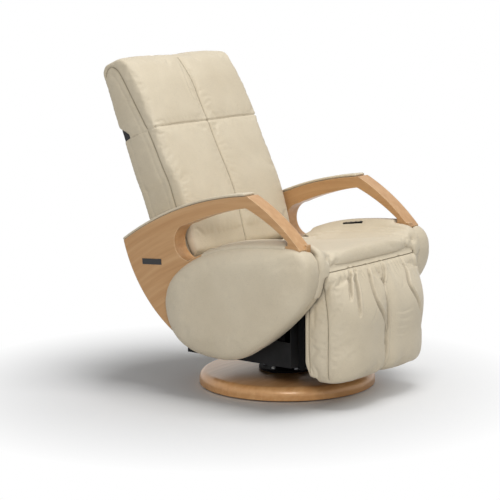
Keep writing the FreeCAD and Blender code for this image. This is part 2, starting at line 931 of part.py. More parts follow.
def side_frame():
    inner = s.board_inner + s.board_thick
    outer = inner + s.frame_thick
    lift = in_side(inner)
    tip, middle, apex = frame_arc()
    foot = complex(-s.frame_foot_front, s.egg_top)
    tail = complex(s.frame_tail_back, s.frame_tail_height)
    behind_pod = complex(-s.egg_top_at, s.egg_front_height), complex(0, s.egg_rear_height)
    edges = [
        arc_of(tip, middle, apex, lift),
        leg_edge(lift),
        *straight(foot, *behind_pod, tail, lift=lift),
        bulged(tail, tip, s.rear_edge_bow, lift),
    ]
    board = across(wire_of(edges), inner, outer)
    board = round_along_x(board, s.apex_round, (apex,))
    board = round_along_x(board, s.tip_round, (tip,))
    board = board.cut(across(egg(inner, -s.pod_seat_gap), inner, outer))
    ring_shape = board.cut(window_shape(inner, outer))
    ring_shape = max(ring_shape.Solids, key=lambda solid: solid.Volume)
    for tongue in tongues(0):
        ring_shape = ring_shape.fuse(tongue)
    ring_shape = ring_shape.removeSplitter()
    for place in bolt_places():
        ring_shape = ring_shape.cut(disc(inner, inner + s.frame_bolt_length - s.board_thick,
                                         place, s.frame_bolt_dia / 2))
    frame = solid_of(max(ring_shape.Solids, key=lambda solid: solid.Volume))
    named("side_frame_left", frame)
    named("side_frame_right", mirrored(frame))


def frame_bolts():
    bolts = []
    head_inner = s.board_inner - s.frame_bolt_head
    for place in bolt_places():
        head = disc(head_inner, s.board_inner, place, s.frame_bolt_dia)
        shank = disc(s.board_inner, s.board_inner + s.frame_bolt_length, place, s.frame_bolt_dia / 2)
        bolts.append(one_solid(head, shank))
    bolts += [bolt.mirror(V(), AXES["X"]) for bolt in bolts]
    named("side_frame_bolts", solid_of(Part.Compound(bolts)))


def armrest_pad():
    tip, middle, apex = frame_arc()
    centre, radius = arm_circle()
    low = radius + s.soft_gap
    high = low + s.arm_pad_thick
    inner = s.board_inner + s.board_thick + s.arm_pad_inset
    outer = s.board_inner + s.board_thick + s.frame_thick - s.arm_pad_inset
    out_tip = (tip - centre) / abs(tip - centre)
    out_apex = (apex - centre) / abs(apex - centre)
    rear = out_tip * heading(-math.degrees(s.arm_pad_rear_overhang / low))
    front = out_apex * heading(-math.degrees(s.arm_pad_front_setback / low))
    halfway = (rear + front) / abs(rear + front)
    lift = in_side(inner)
    edges = [
        arc_of(centre + rear * low, centre + halfway * low, centre + front * low, lift),
        *straight(centre + front * low, centre + front * high, lift=lift),
        arc_of(centre + front * high, centre + halfway * high, centre + rear * high, lift),
        *straight(centre + rear * high, centre + rear * low, lift=lift),
    ]
    shape = across(wire_of(edges), inner, outer)

    def is_upper(edge):
        where = edge.CenterOfMass
        return abs(complex(where.y, where.z) - centre) > (low + 2 * high) / 3
    shape = shape.makeFillet(s.arm_pad_edge_round, [edge for edge in shape.Edges if is_upper(edge)])
    pad = solid_of(shape)
    named("armrest_pad_left", pad)
    named("armrest_pad_right", mirrored(pad))


def name_plate():
    face = s.board_inner + s.board_thick + s.frame_thick
    plate = solid_of(Part.makeBox(s.plate_thick, s.plate_length, s.plate_height,
                                  V(-s.plate_thick, -s.plate_length / 2, -s.plate_height / 2)))
    plate.Placement = FreeCAD.Placement(V(-face, s.plate_back, s.plate_up),
                                        FreeCAD.Rotation(AXES["X"], -s.plate_tilt))
    named("name_plate", plate)


def bolster():
    inner = s.board_inner
    outer = s.board_inner + s.board_thick
    roll = lofted([egg(inner + s.board_thick * share, -s.bolster_rise * rise)
                   for share, rise in ((0, 0.3), (0.15, 0.8), (0.5, 1), (0.85, 0.8), (1, 0.3))])
    roll = roll.cut(across(egg(inner - 1, s.board_inset - s.soft_gap), inner - 1, outer + 1))
    keep = Part.makeBox(s.board_thick, s.egg_front + s.bolster_end + 50, s.egg_top,
                        V(inner, -s.egg_front - 50, s.egg_front_height))
    shape = max(roll.common(keep).Solids, key=lambda solid: solid.Volume)
    named("inner_bolster_right", mirrored(solid_of(shape)))
    named("inner_bolster_left", solid_of(shape.cut(panel_block(s.panel_fit)).Solids[0]))


# Control panel in the left bolster

def panel_frame():
    """The place and slope of the middle of the panel's top face."""
    front = -s.panel_from - s.panel_length
    rear = -s.panel_from
    low = egg_crest(rear, -s.bolster_rise)
    high = egg_crest(front, -s.bolster_rise)
    slope = math.degrees(math.atan2(high - low, s.panel_length))
    centre = V(s.board_inner + s.board_thick / 2, (front + rear) / 2, (low + high) / 2 + s.panel_proud)
    return FreeCAD.Placement(centre, FreeCAD.Rotation(AXES["X"], -slope))


def panel_block(gap):
    shape = Part.makeBox(s.panel_wide + 2 * gap, s.panel_length + 2 * gap, s.panel_high + gap,
                         V(-s.panel_wide / 2 - gap, -s.panel_length / 2 - gap, -s.panel_high - gap))
    shape.Placement = panel_frame()
    return shape


def button_place(number):
    pitch = s.panel_length / s.button_count
    return V(0, (number - (s.button_count - 1) / 2) * pitch, 0)


def control_panel():
    count = int(s.button_count)
    shape = Part.makeBox(s.panel_wide, s.panel_length, s.panel_high,
                         V(-s.panel_wide / 2, -s.panel_length / 2, -s.panel_high))
    depth = s.panel_high - s.panel_floor
    for number in range(count):
        floor = button_place(number) - V(0, 0, depth)
        shape = shape.cut(Part.makeCylinder(s.button_dia / 2 + s.button_gap, depth + 1, floor))
    panel = solid_of(shape)
    panel.Placement = panel_frame()
    named("control_panel", panel)
    for number in range(count):
        length = depth + s.button_proud - s.button_travel - s.button_gap
        low = button_place(number) + V(0, 0, s.button_proud - length)
        button = solid_of(Part.makeCylinder(s.button_dia / 2, length, low))
        button.Placement = panel_frame()
        named(f"control_button_{number + 1}", button)


# Seat cushion

def cushion_outline(x, sink):
    """The side view of the seat at one station: flat below, with its roll at the front."""
    lift = in_side(x)
    floor = s.deck_level + s.deck_thick
    rear = complex(s.cushion_rear, s.cushion_rear_top - sink)
    middle = complex(-s.cushion_mid_front, s.cushion_mid_top - sink)
    crest = complex(-s.roll_top_at, s.cushion_front_top - sink)
    nose = complex(-s.roll_front + sink / 2, s.roll_nose_height)
    lip = complex(-s.roll_lip_front, s.roll_lip_height)
    step = -s.roll_top_at + s.roll_step_back
    return wire_of([
        *straight(complex(step, floor), complex(s.cushion_rear, floor), rear, lift=lift),
        arc_of(rear, middle, crest, lift),
        *smooth_edges([(crest, heading(188)), (nose, heading(270)), (lip, heading(300))], lift),
        *straight(lip, complex(step, s.roll_lip_height), complex(step, floor), lift=lift),
    ])


def cushion_flank(x, sink):
    """The same outline behind the roll, between the leg hinges and the side boards."""
    lift = in_side(x)
    floor = s.deck_level + s.deck_thick
    rear = complex(s.cushion_rear, s.cushion_rear_top - sink)
    middle = complex(-s.cushion_mid_front, s.cushion_mid_top - sink)
    crest = complex(-s.roll_top_at, s.cushion_front_top - sink)
    top = Part.Arc(lift(rear), lift(middle), lift(crest))
    upright = Part.LineSegment(V(x, s.flank_front, floor), V(x, s.flank_front, s.cushion_front_top * 2))
    front = complex(s.flank_front, top.intersect(upright)[0].Z)
    half = top.parameter(lift(rear)) / 2 + top.parameter(lift(front)) / 2
    halfway = top.value(half)
    return wire_of([
        *straight(front, complex(s.flank_front, floor), complex(s.cushion_rear, floor), rear, lift=lift),
        Part.Arc(lift(rear), halfway, lift(front)).toShape(),
    ])


def seat_cushion():
    half = s.roll_half_width
    sinks = ((0, 0), (0.5, 0.15), (0.85, 0.55), (1, 1))
    stations = [(-share * half, sink) for share, sink in reversed(sinks)]
    stations += [(share * half, sink) for share, sink in sinks[1:]]
    crown = s.cushion_crown
    body = lofted([cushion_outline(x, crown * sink) for x, sink in stations])
    side = s.board_inner - s.cushion_side_gap
    flanks = [
        lofted([cushion_flank(x, crown * sink) for x, sink in ((turn * half, 1), (turn * side, 1.6))])
        for turn in (-1, 1)
    ]
    named("seat_cushion", solid_of(one_solid(body, *flanks)))


# Backrest: built upright on its hinge, with Y across the back's depth and Z along its height

def recline_line():
    """The height of the recline actuator's rod, which lies over the chassis."""
    chassis_top = s.column_top + s.bearing_height + s.swivel_plate_thick + s.tube_high
    return chassis_top + s.recline_line_up


def recline_arm():
    """How far below the back's hinge the rod passes."""
    return s.back_hinge_height - recline_line()


def back_frame():
    inner = "upright_outer - upright_wide"
    high = "screw_depth - crossbar_thick/2", "screw_depth + crossbar_thick/2"
    rear = "screw_depth + crossbar_thick/2"
    pieces = []
    for near, far in (("-upright_outer", f"-({inner})"), (inner, "upright_outer")):
        pieces.append(block(near, far, f"{rear} - upright_deep", rear,
                            "back_base - upright_foot", "upright_top"))
    strut = stadium(s.upright_outer - s.upright_wide, s.upright_outer, 0,
                    complex(s.screw_depth - s.strut_drop, s.back_base + s.strut_rise), s.ear_round)
    strut = solid_of(strut)
    pieces += [strut, mirrored(strut)]
    pieces.append(bar("X", "torsion_tube_dia", f"-({inner})", inner))
    for level in ("crossbar_low_at", "crossbar_high_at"):
        stretch = f"{level} - crossbar_high/2", f"{level} + crossbar_high/2"
        pieces.append(slab(inner, *high, *stretch))
        pieces.append(slab("screw_block_wide/2", "screw_depth - screw_dia + 1",
                           "screw_depth + screw_dia", *stretch))
        for near, far in (("-upright_outer", f"-({inner})"), (inner, "upright_outer")):
            pieces.append(block(near, far, rear, "back_depth - shell_wall - soft_gap", *stretch))
    reach = recline_arm() / math.cos(math.radians(s.back_recline / 2)) + s.recline_slot_spare
    down = heading(-90 + s.back_lean + s.back_recline / 2)
    low_side = s.lever_offset - s.lever_thick / 2
    high_side = s.lever_offset + s.lever_thick / 2
    slot_half = s.drive_pin_dia / 2 + s.recline_slot_gap
    pieces.append(solid_of(stadium(low_side, high_side, 0, down * reach, s.lever_round)))
    near_end = recline_arm() - s.recline_slot_spare
    slot = solid_of(stadium(low_side - 1, high_side + 1, down * near_end, down * reach, slot_half))
    holes = [slot]
    for near, far in (("-upright_outer - 1", f"-({inner}) + 1"), (f"{inner} - 1", "upright_outer + 1")):
        holes.append(bar("X", "back_pin_dia + 2*running_gap", near, far))
    holes.append(bar("Z", "screw_dia + 2*screw_clear", "crossbar_low_at - crossbar_high",
                     "crossbar_low_at + crossbar_high", "0", "screw_depth"))
    holes.append(bar("Z", "screw_dia + 2*running_gap", "crossbar_high_at - crossbar_high",
                     "crossbar_high_at + crossbar_high", "0", "screw_depth"))
    named("back_frame", less(joined(*pieces), *holes), on_back)


def back_hinge_pins():
    pins = []
    for side in (-1, 1):
        inner = "upright_outer - upright_wide + 1"
        outer = "board_inner + board_thick"
        seat = "upright_outer + soft_gap"
        if side > 0:
            shank = (inner, outer)
            collar = (seat, "board_inner")
        else:
            shank = (f"-({outer})", f"-({inner})")
            collar = ("-board_inner", f"-({seat})")
        height = ("back_hinge_back", "back_hinge_height")
        pins.append(joined(bar("X", "back_pin_dia", *shank, *height),
                           bar("X", "back_pin_dia + 2*back_pin_collar", *collar, *height)))
    named("back_hinge_pins", grouped(*pins))


def back_shell():
    wall = "shell_wall"
    front = "pad_thick - back_front"
    outer = slab("back_half_width", front, "back_depth", "back_base", "shell_top")
    hollow = slab(f"back_half_width - {wall}", f"{front} - 1", f"back_depth - {wall}",
                  f"back_base + {wall}", f"shell_top - {wall}")
    notches = [
        block(f"{side}*(upright_outer - upright_wide/2) - upright_wide/2 - shell_notch_gap",
              f"{side}*(upright_outer - upright_wide/2) + upright_wide/2 + shell_notch_gap",
              f"{front} - 1", "screw_depth + crossbar_thick/2 + shell_notch_gap",
              "back_base - 1", f"back_base + {wall} + 1")
        for side in (-1, 1)
    ]
    named("back_shell", less(outer, hollow, *notches), on_back)


def pad_section(level, front, half_width, rear):
    """The plan of the back pad at one height: crowned halves that meet in a centre seam."""
    lift = in_plan(level)
    edge = front + s.pad_edge_drop
    rear_right = complex(half_width, rear)
    side = complex(half_width, edge + s.pad_crown)
    shoulder = complex(half_width - 1.5 * s.pad_crown, edge - s.pad_crown)
    mound = complex(half_width / 2, front)
    seam = complex(0, front + s.seam_depth)

    def flip(place):
        return complex(-place.real, place.imag)
    halves = [
        *straight(rear_right, side, shoulder, lift=lift),
        arc_of(shoulder, mound, seam, lift),
        arc_of(seam, flip(mound), flip(shoulder), lift),
        *straight(flip(shoulder), flip(side), flip(rear_right), rear_right, lift=lift),
    ]
    return wire_of(halves)


def back_pad():
    rear = s.pad_thick - s.back_front
    width = s.back_half_width
    top = s.shoulder_seam - s.soft_gap
    sections = []
    for level, sink in ((0, 1), (0.06, 0.3), (0.3, 0), (0.7, 0), (0.94, 0.3), (1, 1)):
        place = s.back_base + level * (top - s.back_base)
        drop = sink * s.pad_edge_drop
        sections.append(pad_section(place, drop - s.back_front, width - sink * s.pad_crown, rear))
    pad = solid_of(lofted(sections))
    named("back_pad", pad, on_back)


def head_outline(x, sink, hollow):
    """The side view of the head pad, a cap over the shell's top."""
    lift = in_side(x)
    low = complex(sink - s.back_front, s.shoulder_seam)
    bend = complex(sink - s.head_bend_depth, s.head_bend_up)
    brow = complex(s.head_brow_depth, s.head_top - sink)
    rear_top = complex(s.back_depth - s.head_brow_depth, s.head_top - sink)
    rear = s.back_depth + s.soft_gap + s.head_flap_thick
    rear_high = complex(rear, s.shell_top)
    rear_low = complex(rear, s.head_flap_end)
    front = s.pad_thick - s.back_front - s.soft_gap
    edges = [
        *straight(low, bend, lift=lift),
        *smooth_edges([(bend, heading(77)), (brow, heading(0)), (rear_top, heading(0)),
                       (rear_high, heading(270))], lift),
        *straight(rear_high, rear_low, lift=lift),
    ]
    inner_front = complex(front, s.shoulder_seam)
    if hollow:
        roof = s.shell_top + s.soft_gap
        inner_rear = s.back_depth + s.soft_gap
        edges += straight(rear_low, complex(inner_rear, s.head_flap_end), complex(inner_rear, roof),
                          complex(front, roof), inner_front, low, lift=lift)
    else:
        edges += straight(rear_low, inner_front, low, lift=lift)
    return wire_of(edges)


def head_pad():
    cap = s.back_half_width + s.soft_gap
    side = s.head_half_width
    stations = [(-1, 1), (-0.8, 0.25), (-0.4, 0), (0, 0.6), (0.4, 0), (0.8, 0.25), (1, 1)]
    body = lofted([head_outline(share * cap, s.pad_crown * sink, True) for share, sink in stations])
    cheeks = [
        lofted([head_outline(turn * cap, s.pad_crown, False),
                head_outline(turn * side, 2 * s.pad_crown, False)])
        for turn in (-1, 1)
    ]
    named("head_pad", solid_of(one_solid(body, *cheeks)), on_back)


# Massage unit, in the back's own axes

GUIDE_FRONT = "(screw_depth - crossbar_thick/2 - guide_setback - guide_deep)"
GUIDE_REAR = "(screw_depth - crossbar_thick/2 - guide_setback)"


def massage_rails():
    near, far = "guide_offset - guide_wide/2", "guide_offset + guide_wide/2"
    low, high = "crossbar_low_at - crossbar_high/2", "crossbar_high_at - crossbar_high/2"
    top = "crossbar_high_at + crossbar_high/2"
    crossbar_front = "screw_depth - crossbar_thick/2"
    rail = block(near, far, GUIDE_FRONT, GUIDE_REAR, low, high)
    groove = block(f"{near} - 1", f"{near} + guide_groove_deep",
                   f"{GUIDE_FRONT} + guide_deep/2 - guide_groove_wide/2",
                   f"{GUIDE_FRONT} + guide_deep/2 + guide_groove_wide/2", f"{low} - 1", f"{high} + 1")
    low_foot = block(near, far, GUIDE_REAR, crossbar_front, low, f"{low} + crossbar_high")
    high_foot = block(near, far, GUIDE_FRONT, crossbar_front, high, top)
    left = joined(less(rail, groove), low_foot, high_foot)
    named("massage_rails", grouped(left, mirrored(left)), on_back)


def lift_drive():
    level = "crossbar_low_at - crossbar_high/2 - lift_motor_dia/2"
    worm_box = slab("lift_motor_dia/2 - lift_box_inset", "screw_depth - lift_motor_dia/2",
                    "screw_depth + screw_dia",
                    f"{level} - lift_motor_dia/2 + 1", f"{level} + lift_motor_dia/2")
    motor = bar("X", "lift_motor_dia", "-lift_motor_dia/2 - lift_motor_length", "0",
                "screw_depth + screw_dia - lift_motor_dia/2", level)
    bore = bar("Z", "screw_dia + 2*running_gap", level, f"{level} + lift_motor_dia", "0", "screw_depth")
    named("lift_motor", less(joined(worm_box, motor), bore), on_back)
    screw = bar("Z", "screw_dia", f"{level} + 1", "crossbar_high_at + crossbar_high/2 + screw_end",
                "0", "screw_depth")
    named("lead_screw", screw, on_back)


def massage_carriage():
    half = "carriage_half_height"
    low, high = f"carriage_at - {half}", f"carriage_at + {half}"
    inside = "guide_offset - guide_wide/2 - guide_gap"
    plate_front = f"{GUIDE_REAR} + guide_gap"
    plate_rear = f"{plate_front} + carriage_plate_thick"
    pieces = [slab(inside, plate_front, plate_rear, low, high)]
    cheek_front = "knead_axle_depth - knead_axle_dia"
    for side in (-1, 1):
        def pair(near, far, side=side):
            return (near, far) if side > 0 else (f"-({far})", f"-({near})")
        pieces.append(block(*pair("cheek_offset - cheek_thick/2", "cheek_offset + cheek_thick/2"),
                            cheek_front, plate_rear, low, high))
        pieces.append(block(*pair("cheek_offset", inside),
                            f"{GUIDE_FRONT} + guide_lead", plate_rear, low, high))
        pieces.append(block(*pair(f"{inside} - 1", f"{inside} + guide_groove_deep"),
                            f"{GUIDE_FRONT} + guide_deep/2 - guide_groove_wide/2 + guide_gap",
                            f"{GUIDE_FRONT} + guide_deep/2 + guide_groove_wide/2 - guide_gap", low, high))
    pieces.append(slab("screw_block_wide/2", plate_front, "screw_depth + screw_dia",
                       "carriage_at - screw_block_high/2", "carriage_at + screw_block_high/2"))
    nut_bore = bar("Z", "screw_dia + 2*running_gap", "carriage_at - screw_block_high",
                   "carriage_at + screw_block_high", "0", "screw_depth")
    axle = ("knead_axle_depth", "carriage_at")
    through = "cheek_offset + cheek_thick"
    axle_bore = bar("X", "knead_axle_dia", f"-({through})", through, *axle)
    named("massage_carriage", less(joined(*pieces), nut_bore, axle_bore), on_back)
    end = "cheek_offset + cheek_thick/2"
    shaft = bar("X", "knead_axle_dia", f"-({end})", end, *axle)
    named("kneading_shaft", shaft, on_back)
    middle = "carriage_at + knead_motor_dia/2 + knead_axle_dia/2 + knead_motor_gap"
    depth = "knead_axle_depth + knead_motor_setback"
    motor = bar("X", "knead_motor_dia", "-knead_motor_length/2", "knead_motor_length/2", depth, middle)
    foot = slab("knead_motor_length/2 - knead_foot_inset", depth, plate_front,
                f"{middle} - knead_foot_high/2", f"{middle} + knead_foot_high/2")
    named("kneading_motor", joined(motor, foot), on_back)


def roller_arms():
    for side, label in ((1, "left"), (-1, "right")):
        middle = complex(s.roller_depth, s.carriage_at)
        reach = complex(0, s.roller_spread)
        inner = s.arm_plate_offset - s.arm_plate_thick / 2
        outer = inner + s.arm_plate_thick
        hub = complex(s.knead_axle_depth, s.carriage_at)
        shape = stadium(inner, outer, middle - reach, middle + reach, s.roller_pin_dia)
        shape = shape.fuse(disc(inner, outer, hub, s.knead_axle_dia))
        pin_end = s.roller_offset + s.roller_wide / 2 + 1
        for turn in (-1, 1):
            shape = shape.fuse(disc(inner, pin_end, middle + turn * reach, s.roller_pin_dia / 2))
        shape = shape.cut(disc(inner - 1, outer + 1, hub, s.knead_axle_dia / 2 + s.running_gap))
        arm = solid_of(shape.removeSplitter())
        named(f"roller_arm_{label}", arm if side > 0 else mirrored(arm), on_back)
        for level, turn in (("upper", 1), ("lower", -1)):
            place = f"carriage_at + {turn}*roller_spread"
            near = "roller_offset - roller_wide/2"
            far = "roller_offset + roller_wide/2"
            tyre = doc.addObject("Part::Fillet", "tyre")
            tyre.Base = bar("X", "roller_dia", near, far, "roller_depth", place)
            doc.recompute()
            edges = enumerate(tyre.Base.Shape.Edges)
            rims = [number + 1 for number, edge in edges if isinstance(edge.Curve, Part.Circle)]
            tyre.Edges = [(number, s.roller_round, s.roller_round) for number in rims]
            roller = less(tyre, bar("X", "roller_pin_dia + 2*running_gap", f"{near} - 1", f"{far} + 1",
                                    "roller_depth", place))
            named(f"massage_roller_{level}_{label}", roller if side > 0 else mirrored(roller), on_back)


# Actuators: a tube, a gearbox with its motor beside it, and a forked rod

RECLINE_LINE = f"({CHASSIS_TOP} + recline_line_up)"
LEG_LINE = "(leg_hinge_height - leg_drive_arm)"


def actuator(label, side, tube_from, tube_to, gear_from, gear_to, motor_from, motor_to, bore, line):
    half = "actuator_gear_side/2"
    if side > 0:
        width = (f"actuator_offset - {half}", f"actuator_offset + motor_spread + {half}")
    else:
        width = (f"-(actuator_offset + motor_spread + {half})", f"-(actuator_offset - {half})")
    middle = f"{side}*actuator_offset"
    motor_middle = f"{side}*(actuator_offset + motor_spread)"
    tube = bar("Y", "actuator_dia", tube_from, tube_to, middle, line)
    box = block(*width, gear_from, gear_to, f"{line} - {half}", f"{line} + {half}")
    motor = bar("Y", "actuator_motor_dia", motor_from, motor_to, motor_middle, line)
    rod_bore = bar("Y", "rod_dia + 2*running_gap", *bore, middle, line)
    named(label, less(joined(tube, box, motor), rod_bore))


def cradle(side, front, rear, top):
    """A folded steel seat on the chassis that holds an actuator's gearbox by its sides."""
    half = "actuator_gear_side/2"
    near = f"actuator_offset - {half}"
    far = f"actuator_offset + motor_spread + {half}"
    sheet = "cradle_thick"

    def pair(low, high):
        return (low, high) if side > 0 else (f"-({high})", f"-({low})")
    return joined(
        block(*pair(f"{near} - {sheet}", f"{far} + {sheet}"), front, rear,
              CHASSIS_TOP, f"{CHASSIS_TOP} + {sheet}"),
        block(*pair(f"{near} - {sheet}", near), front, rear, CHASSIS_TOP, top),
        block(*pair(far, f"{far} + {sheet}"), front, rear, CHASSIS_TOP, top),
    )


def actuators():
    gear_front = "-recline_tube_front - actuator_gear_length"
    actuator("recline_actuator", 1, "-recline_tube_front", "recline_tube_rear",
             gear_front, "-recline_tube_front", "-recline_tube_front",
             "actuator_motor_length - recline_tube_front",
             ("recline_tube_rear - recline_bore", "recline_tube_rear + 1"), RECLINE_LINE)
    actuator("leg_rest_actuator", -1, "-leg_tube_front", "leg_tube_rear",
             "leg_tube_rear", "leg_tube_rear + actuator_gear_length",
             "leg_tube_rear - actuator_motor_length", "leg_tube_rear",
             ("-leg_tube_front - 1", "leg_bore - leg_tube_front"), LEG_LINE)
    named("recline_cradle", cradle(1, gear_front, "-recline_tube_front", RECLINE_LINE))
    named("leg_rest_cradle", cradle(-1, "leg_tube_rear", "leg_tube_rear + actuator_gear_length", LEG_LINE))


def drive_rod(label, side, pin_at, fork_depth, inner_end, line):
    """A rod whose fork straddles a lever; inner_end is the station of its other end."""
    outward = 1 if inner_end < pin_at else -1
    middle = side * s.actuator_offset
    gap = s.lever_thick / 2 + s.fork_gap
    throat = pin_at - outward * fork_depth
    neck = throat - outward * s.fork_neck
    pin_place = complex(pin_at, line)
    plates = []
    for low in (middle - gap - s.fork_plate, middle + gap):
        high = low + s.fork_plate
        plates.append(stadium(low, high, pin_place, complex(throat, line), s.fork_round))
    width = 2 * (gap + s.fork_plate)
    bridge = Part.makeBox(width, s.fork_neck, 2 * s.fork_round,
                          V(middle - width / 2, min(throat, neck), line - s.fork_round))
    ends = min(neck, inner_end), max(neck, inner_end)
    rod = Part.makeCylinder(s.rod_dia / 2, ends[1] - ends[0], V(middle, ends[0], line), AXES["Y"])
    pin = disc(middle - width / 2, middle + width / 2, pin_place, s.drive_pin_dia / 2)
    shape = plates[0].fuse(plates[1])
    shape = shape.fuse(bridge).fuse(rod).fuse(pin)
    named(label, solid_of(shape.removeSplitter()))


def drive_rods():
    hinge = complex(s.back_hinge_back, s.back_hinge_height)
    swing = math.tan(math.radians(s.back_recline / 2))
    drive_rod("recline_rod", 1, hinge.real + recline_arm() * swing, s.recline_fork_depth,
              s.recline_tube_rear - s.recline_rod_inside, recline_line())
    swing = math.tan(math.radians(s.leg_range / 2))
    hinge = complex(-s.leg_hinge_front, s.leg_hinge_height)
    drive_rod("leg_rest_rod", -1, hinge.real + s.leg_drive_arm * swing - s.leg_slot_lag, s.leg_fork_depth,
              s.leg_rod_inside - s.leg_tube_front, hinge.imag - s.leg_drive_arm)


# Leg rest: built on its hinge

def leg_brackets():
    outer = s.board_inner
    inner = outer - s.leg_bracket_thick
    hinge = complex(-s.leg_hinge_front, s.leg_hinge_height)
    shape = stadium(inner, outer, hinge, hinge + s.leg_bracket_reach, s.leg_bracket_round)
    shape = shape.cut(disc(inner - 1, outer + 1, hinge, s.leg_pin_dia / 2))
    named("leg_hinge_brackets", solid_of(Part.Compound([shape, shape.mirror(V(), AXES["X"])])))
    arm_inner = s.leg_arm_outer - s.leg_arm_thick
    shank = disc(arm_inner - s.leg_pin_head, outer, hinge, s.leg_pin_dia / 2)
    head = disc(arm_inner - s.leg_pin_head, arm_inner - s.soft_gap, hinge, s.leg_pin_dia / 2 + s.leg_pin_rim)
    pin = one_solid(shank, head)
    named("leg_hinge_pins", solid_of(Part.Compound([pin, pin.mirror(V(), AXES["X"])])))


def leg_swing():
    """The heading from the hinge to the drive pin at rest; it crosses straight down at half travel."""
    return heading(-90 + s.leg_range / 2)


def leg_arm(inner, outer, half):
    """One of the two bent arms that carry the leg rest's board."""
    upright = s.leg_pad_rear + s.soft_gap + s.leg_board_thick + s.leg_arm_wide / 2
    knee = leg_swing() * upright / leg_swing().real
    foot = complex(upright, -s.leg_board_bottom + s.leg_arm_wide)
    return one_solid(stadium(inner, outer, 0, knee, half), stadium(inner, outer, knee, foot, half))


def leg_frame():
    outer = s.leg_arm_outer
    inner = outer - s.leg_arm_thick
    swing = leg_swing()
    arm = leg_arm(inner, outer, s.leg_arm_wide / 2)
    arm = arm.cut(disc(inner - 1, outer + 1, 0, s.leg_pin_dia / 2 + s.running_gap))
    cross = disc(-inner, inner, swing * s.leg_cross_at, s.leg_cross_dia / 2)
    slot_end = s.leg_drive_arm / math.cos(math.radians(s.leg_range / 2)) + s.leg_slot_spare
    slot_start = s.leg_drive_arm - s.leg_slot_spare
    slot_half = s.drive_pin_dia / 2 + s.leg_slot_gap
    low = -s.lever_offset - s.lever_thick / 2
    high = -s.lever_offset + s.lever_thick / 2
    lever = stadium(low, high, swing * s.leg_cross_at, swing * slot_end, slot_half + s.lever_wall)
    shape = one_solid(arm, arm.mirror(V(), AXES["X"]), cross, lever)
    shape = shape.cut(stadium(low - 1, high + 1, swing * slot_start, swing * slot_end, slot_half))
    named("leg_rest_frame", solid_of(shape.Solids[0]), on_leg_rest)
    board = slab("leg_pad_half_width - leg_board_inset", "leg_pad_rear + soft_gap",
                 "leg_pad_rear + soft_gap + leg_board_thick", "-leg_board_bottom", "-leg_board_top")
    named("leg_rest_board", board, on_leg_rest)


def leg_section(level, front, valley, side_front, rear, half_width):
    """The plan of the leg pad at one height: two lobes with a valley between them."""
    lift = in_plan(-level)
    rear_corner = complex(half_width, rear)
    side = complex(half_width, side_front)
    lobe = complex(half_width * 0.72, front * 0.93 + side_front * 0.07)
    peak = complex(half_width * 0.4, front)
    seam = complex(0, front + valley)

    def flip(place):
        return complex(-place.real, place.imag)
    near = flip(side), flip(lobe), flip(peak)
    far_half = [(side, heading(262)), (lobe, heading(190)), (peak, heading(178)), (seam, heading(140))]
    near_half = [(seam, heading(220)), (near[2], heading(182)),
                 (near[1], heading(170)), (near[0], heading(98))]
    return wire_of([
        *straight(rear_corner, side, lift=lift),
        *smooth_edges(far_half, lift),
        *smooth_edges(near_half, lift),
        *straight(flip(side), flip(rear_corner), rear_corner, lift=lift),
    ])


# The leg pad from top to bottom: the share of its length, and at that level the shares of its
# bulge at the front and the side, and how much narrower it is
LEG_PAD_LEVELS = (
    (0, 0.27, 0.2, 6),
    (0.09, 0.56, 0.2, 2),
    (0.24, 0.92, 0.22, 0),
    (0.59, 1.0, 0.2, 0),
    (0.82, 0.98, 0.2, 0),
    (0.95, 0.86, 0.12, 4),
    (1, 0.6, 0, 14),
)


def leg_pad():
    slope = math.tan(math.radians(s.leg_range / 2))
    lever_half = s.drive_pin_dia / 2 + s.leg_slot_gap + s.lever_wall
    run = lever_half / math.cos(math.radians(s.leg_range / 2)) + s.leg_pad_clear
    width = s.leg_pad_half_width
    full = s.leg_pad_bulge
    bottom = s.leg_pad_bottom
    sections = []
    for share, front, side, squeeze in LEG_PAD_LEVELS:
        level = s.leg_pad_top + share * (bottom - s.leg_pad_top)
        heel = max(0, 1 - (bottom - level) / s.leg_pad_heel_run)
        rear = min(s.leg_pad_rear, level * slope - run) - s.leg_pad_heel * heel
        side_front = min(-side * full, rear - s.leg_pad_edge)
        valley = s.leg_pad_valley * min(1, level / s.leg_pad_valley_run)
        sections.append(leg_section(level, -front * full, valley, side_front, rear, width - squeeze))
    behind = Part.makeBox(2 * width + 2, s.leg_pad_rear, bottom + 2,
                          V(-width - 1, s.leg_pad_rear, -bottom - 1))
    room = leg_arm(s.leg_arm_outer - s.leg_arm_thick - 1, width + 1, s.leg_arm_wide / 2 + 1)
    pad = lofted(sections).cut([behind, room, room.mirror(V(), AXES["X"])])
    named("leg_rest_pad", solid_of(pad.Solids[0]), on_leg_rest)


def build():
    base_disc()
    base_hardware()
    swivel_column()
    swivel_plate()
    chassis_frame()
    seat_deck()
    belly_pan()
    power()
    side_board()
    side_pod()
    side_frame()
    frame_bolts()
    armrest_pad()
    name_plate()
    bolster()
    control_panel()
    seat_cushion()
    back_frame()
    back_hinge_pins()
    back_shell()
    back_pad()
    head_pad()
    massage_rails()
    lift_drive()
    massage_carriage()
    roller_arms()
    actuators()
    drive_rods()
    leg_brackets()
    leg_frame()
    leg_pad()


def write():
    doc.recompute()
    for thing in doc.Objects:
        if {"Invalid", "Error"} & set(thing.State):
            raise ValueError(f"{thing.Label} was not made")
    for part in parts:
        if part.Shape.isNull() or not part.Shape.isValid() or not part.Shape.Solids:
            raise ValueError(f"{part.Label} has no valid shape")
    os.makedirs("parts", exist_ok=True)
    for part in parts:
        part.Shape.exportStep(f"parts/{part.Label}.step")
        print(part.Label, len(part.Shape.Solids), round(part.Shape.Volume))


build()
write()
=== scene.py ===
import json
import math

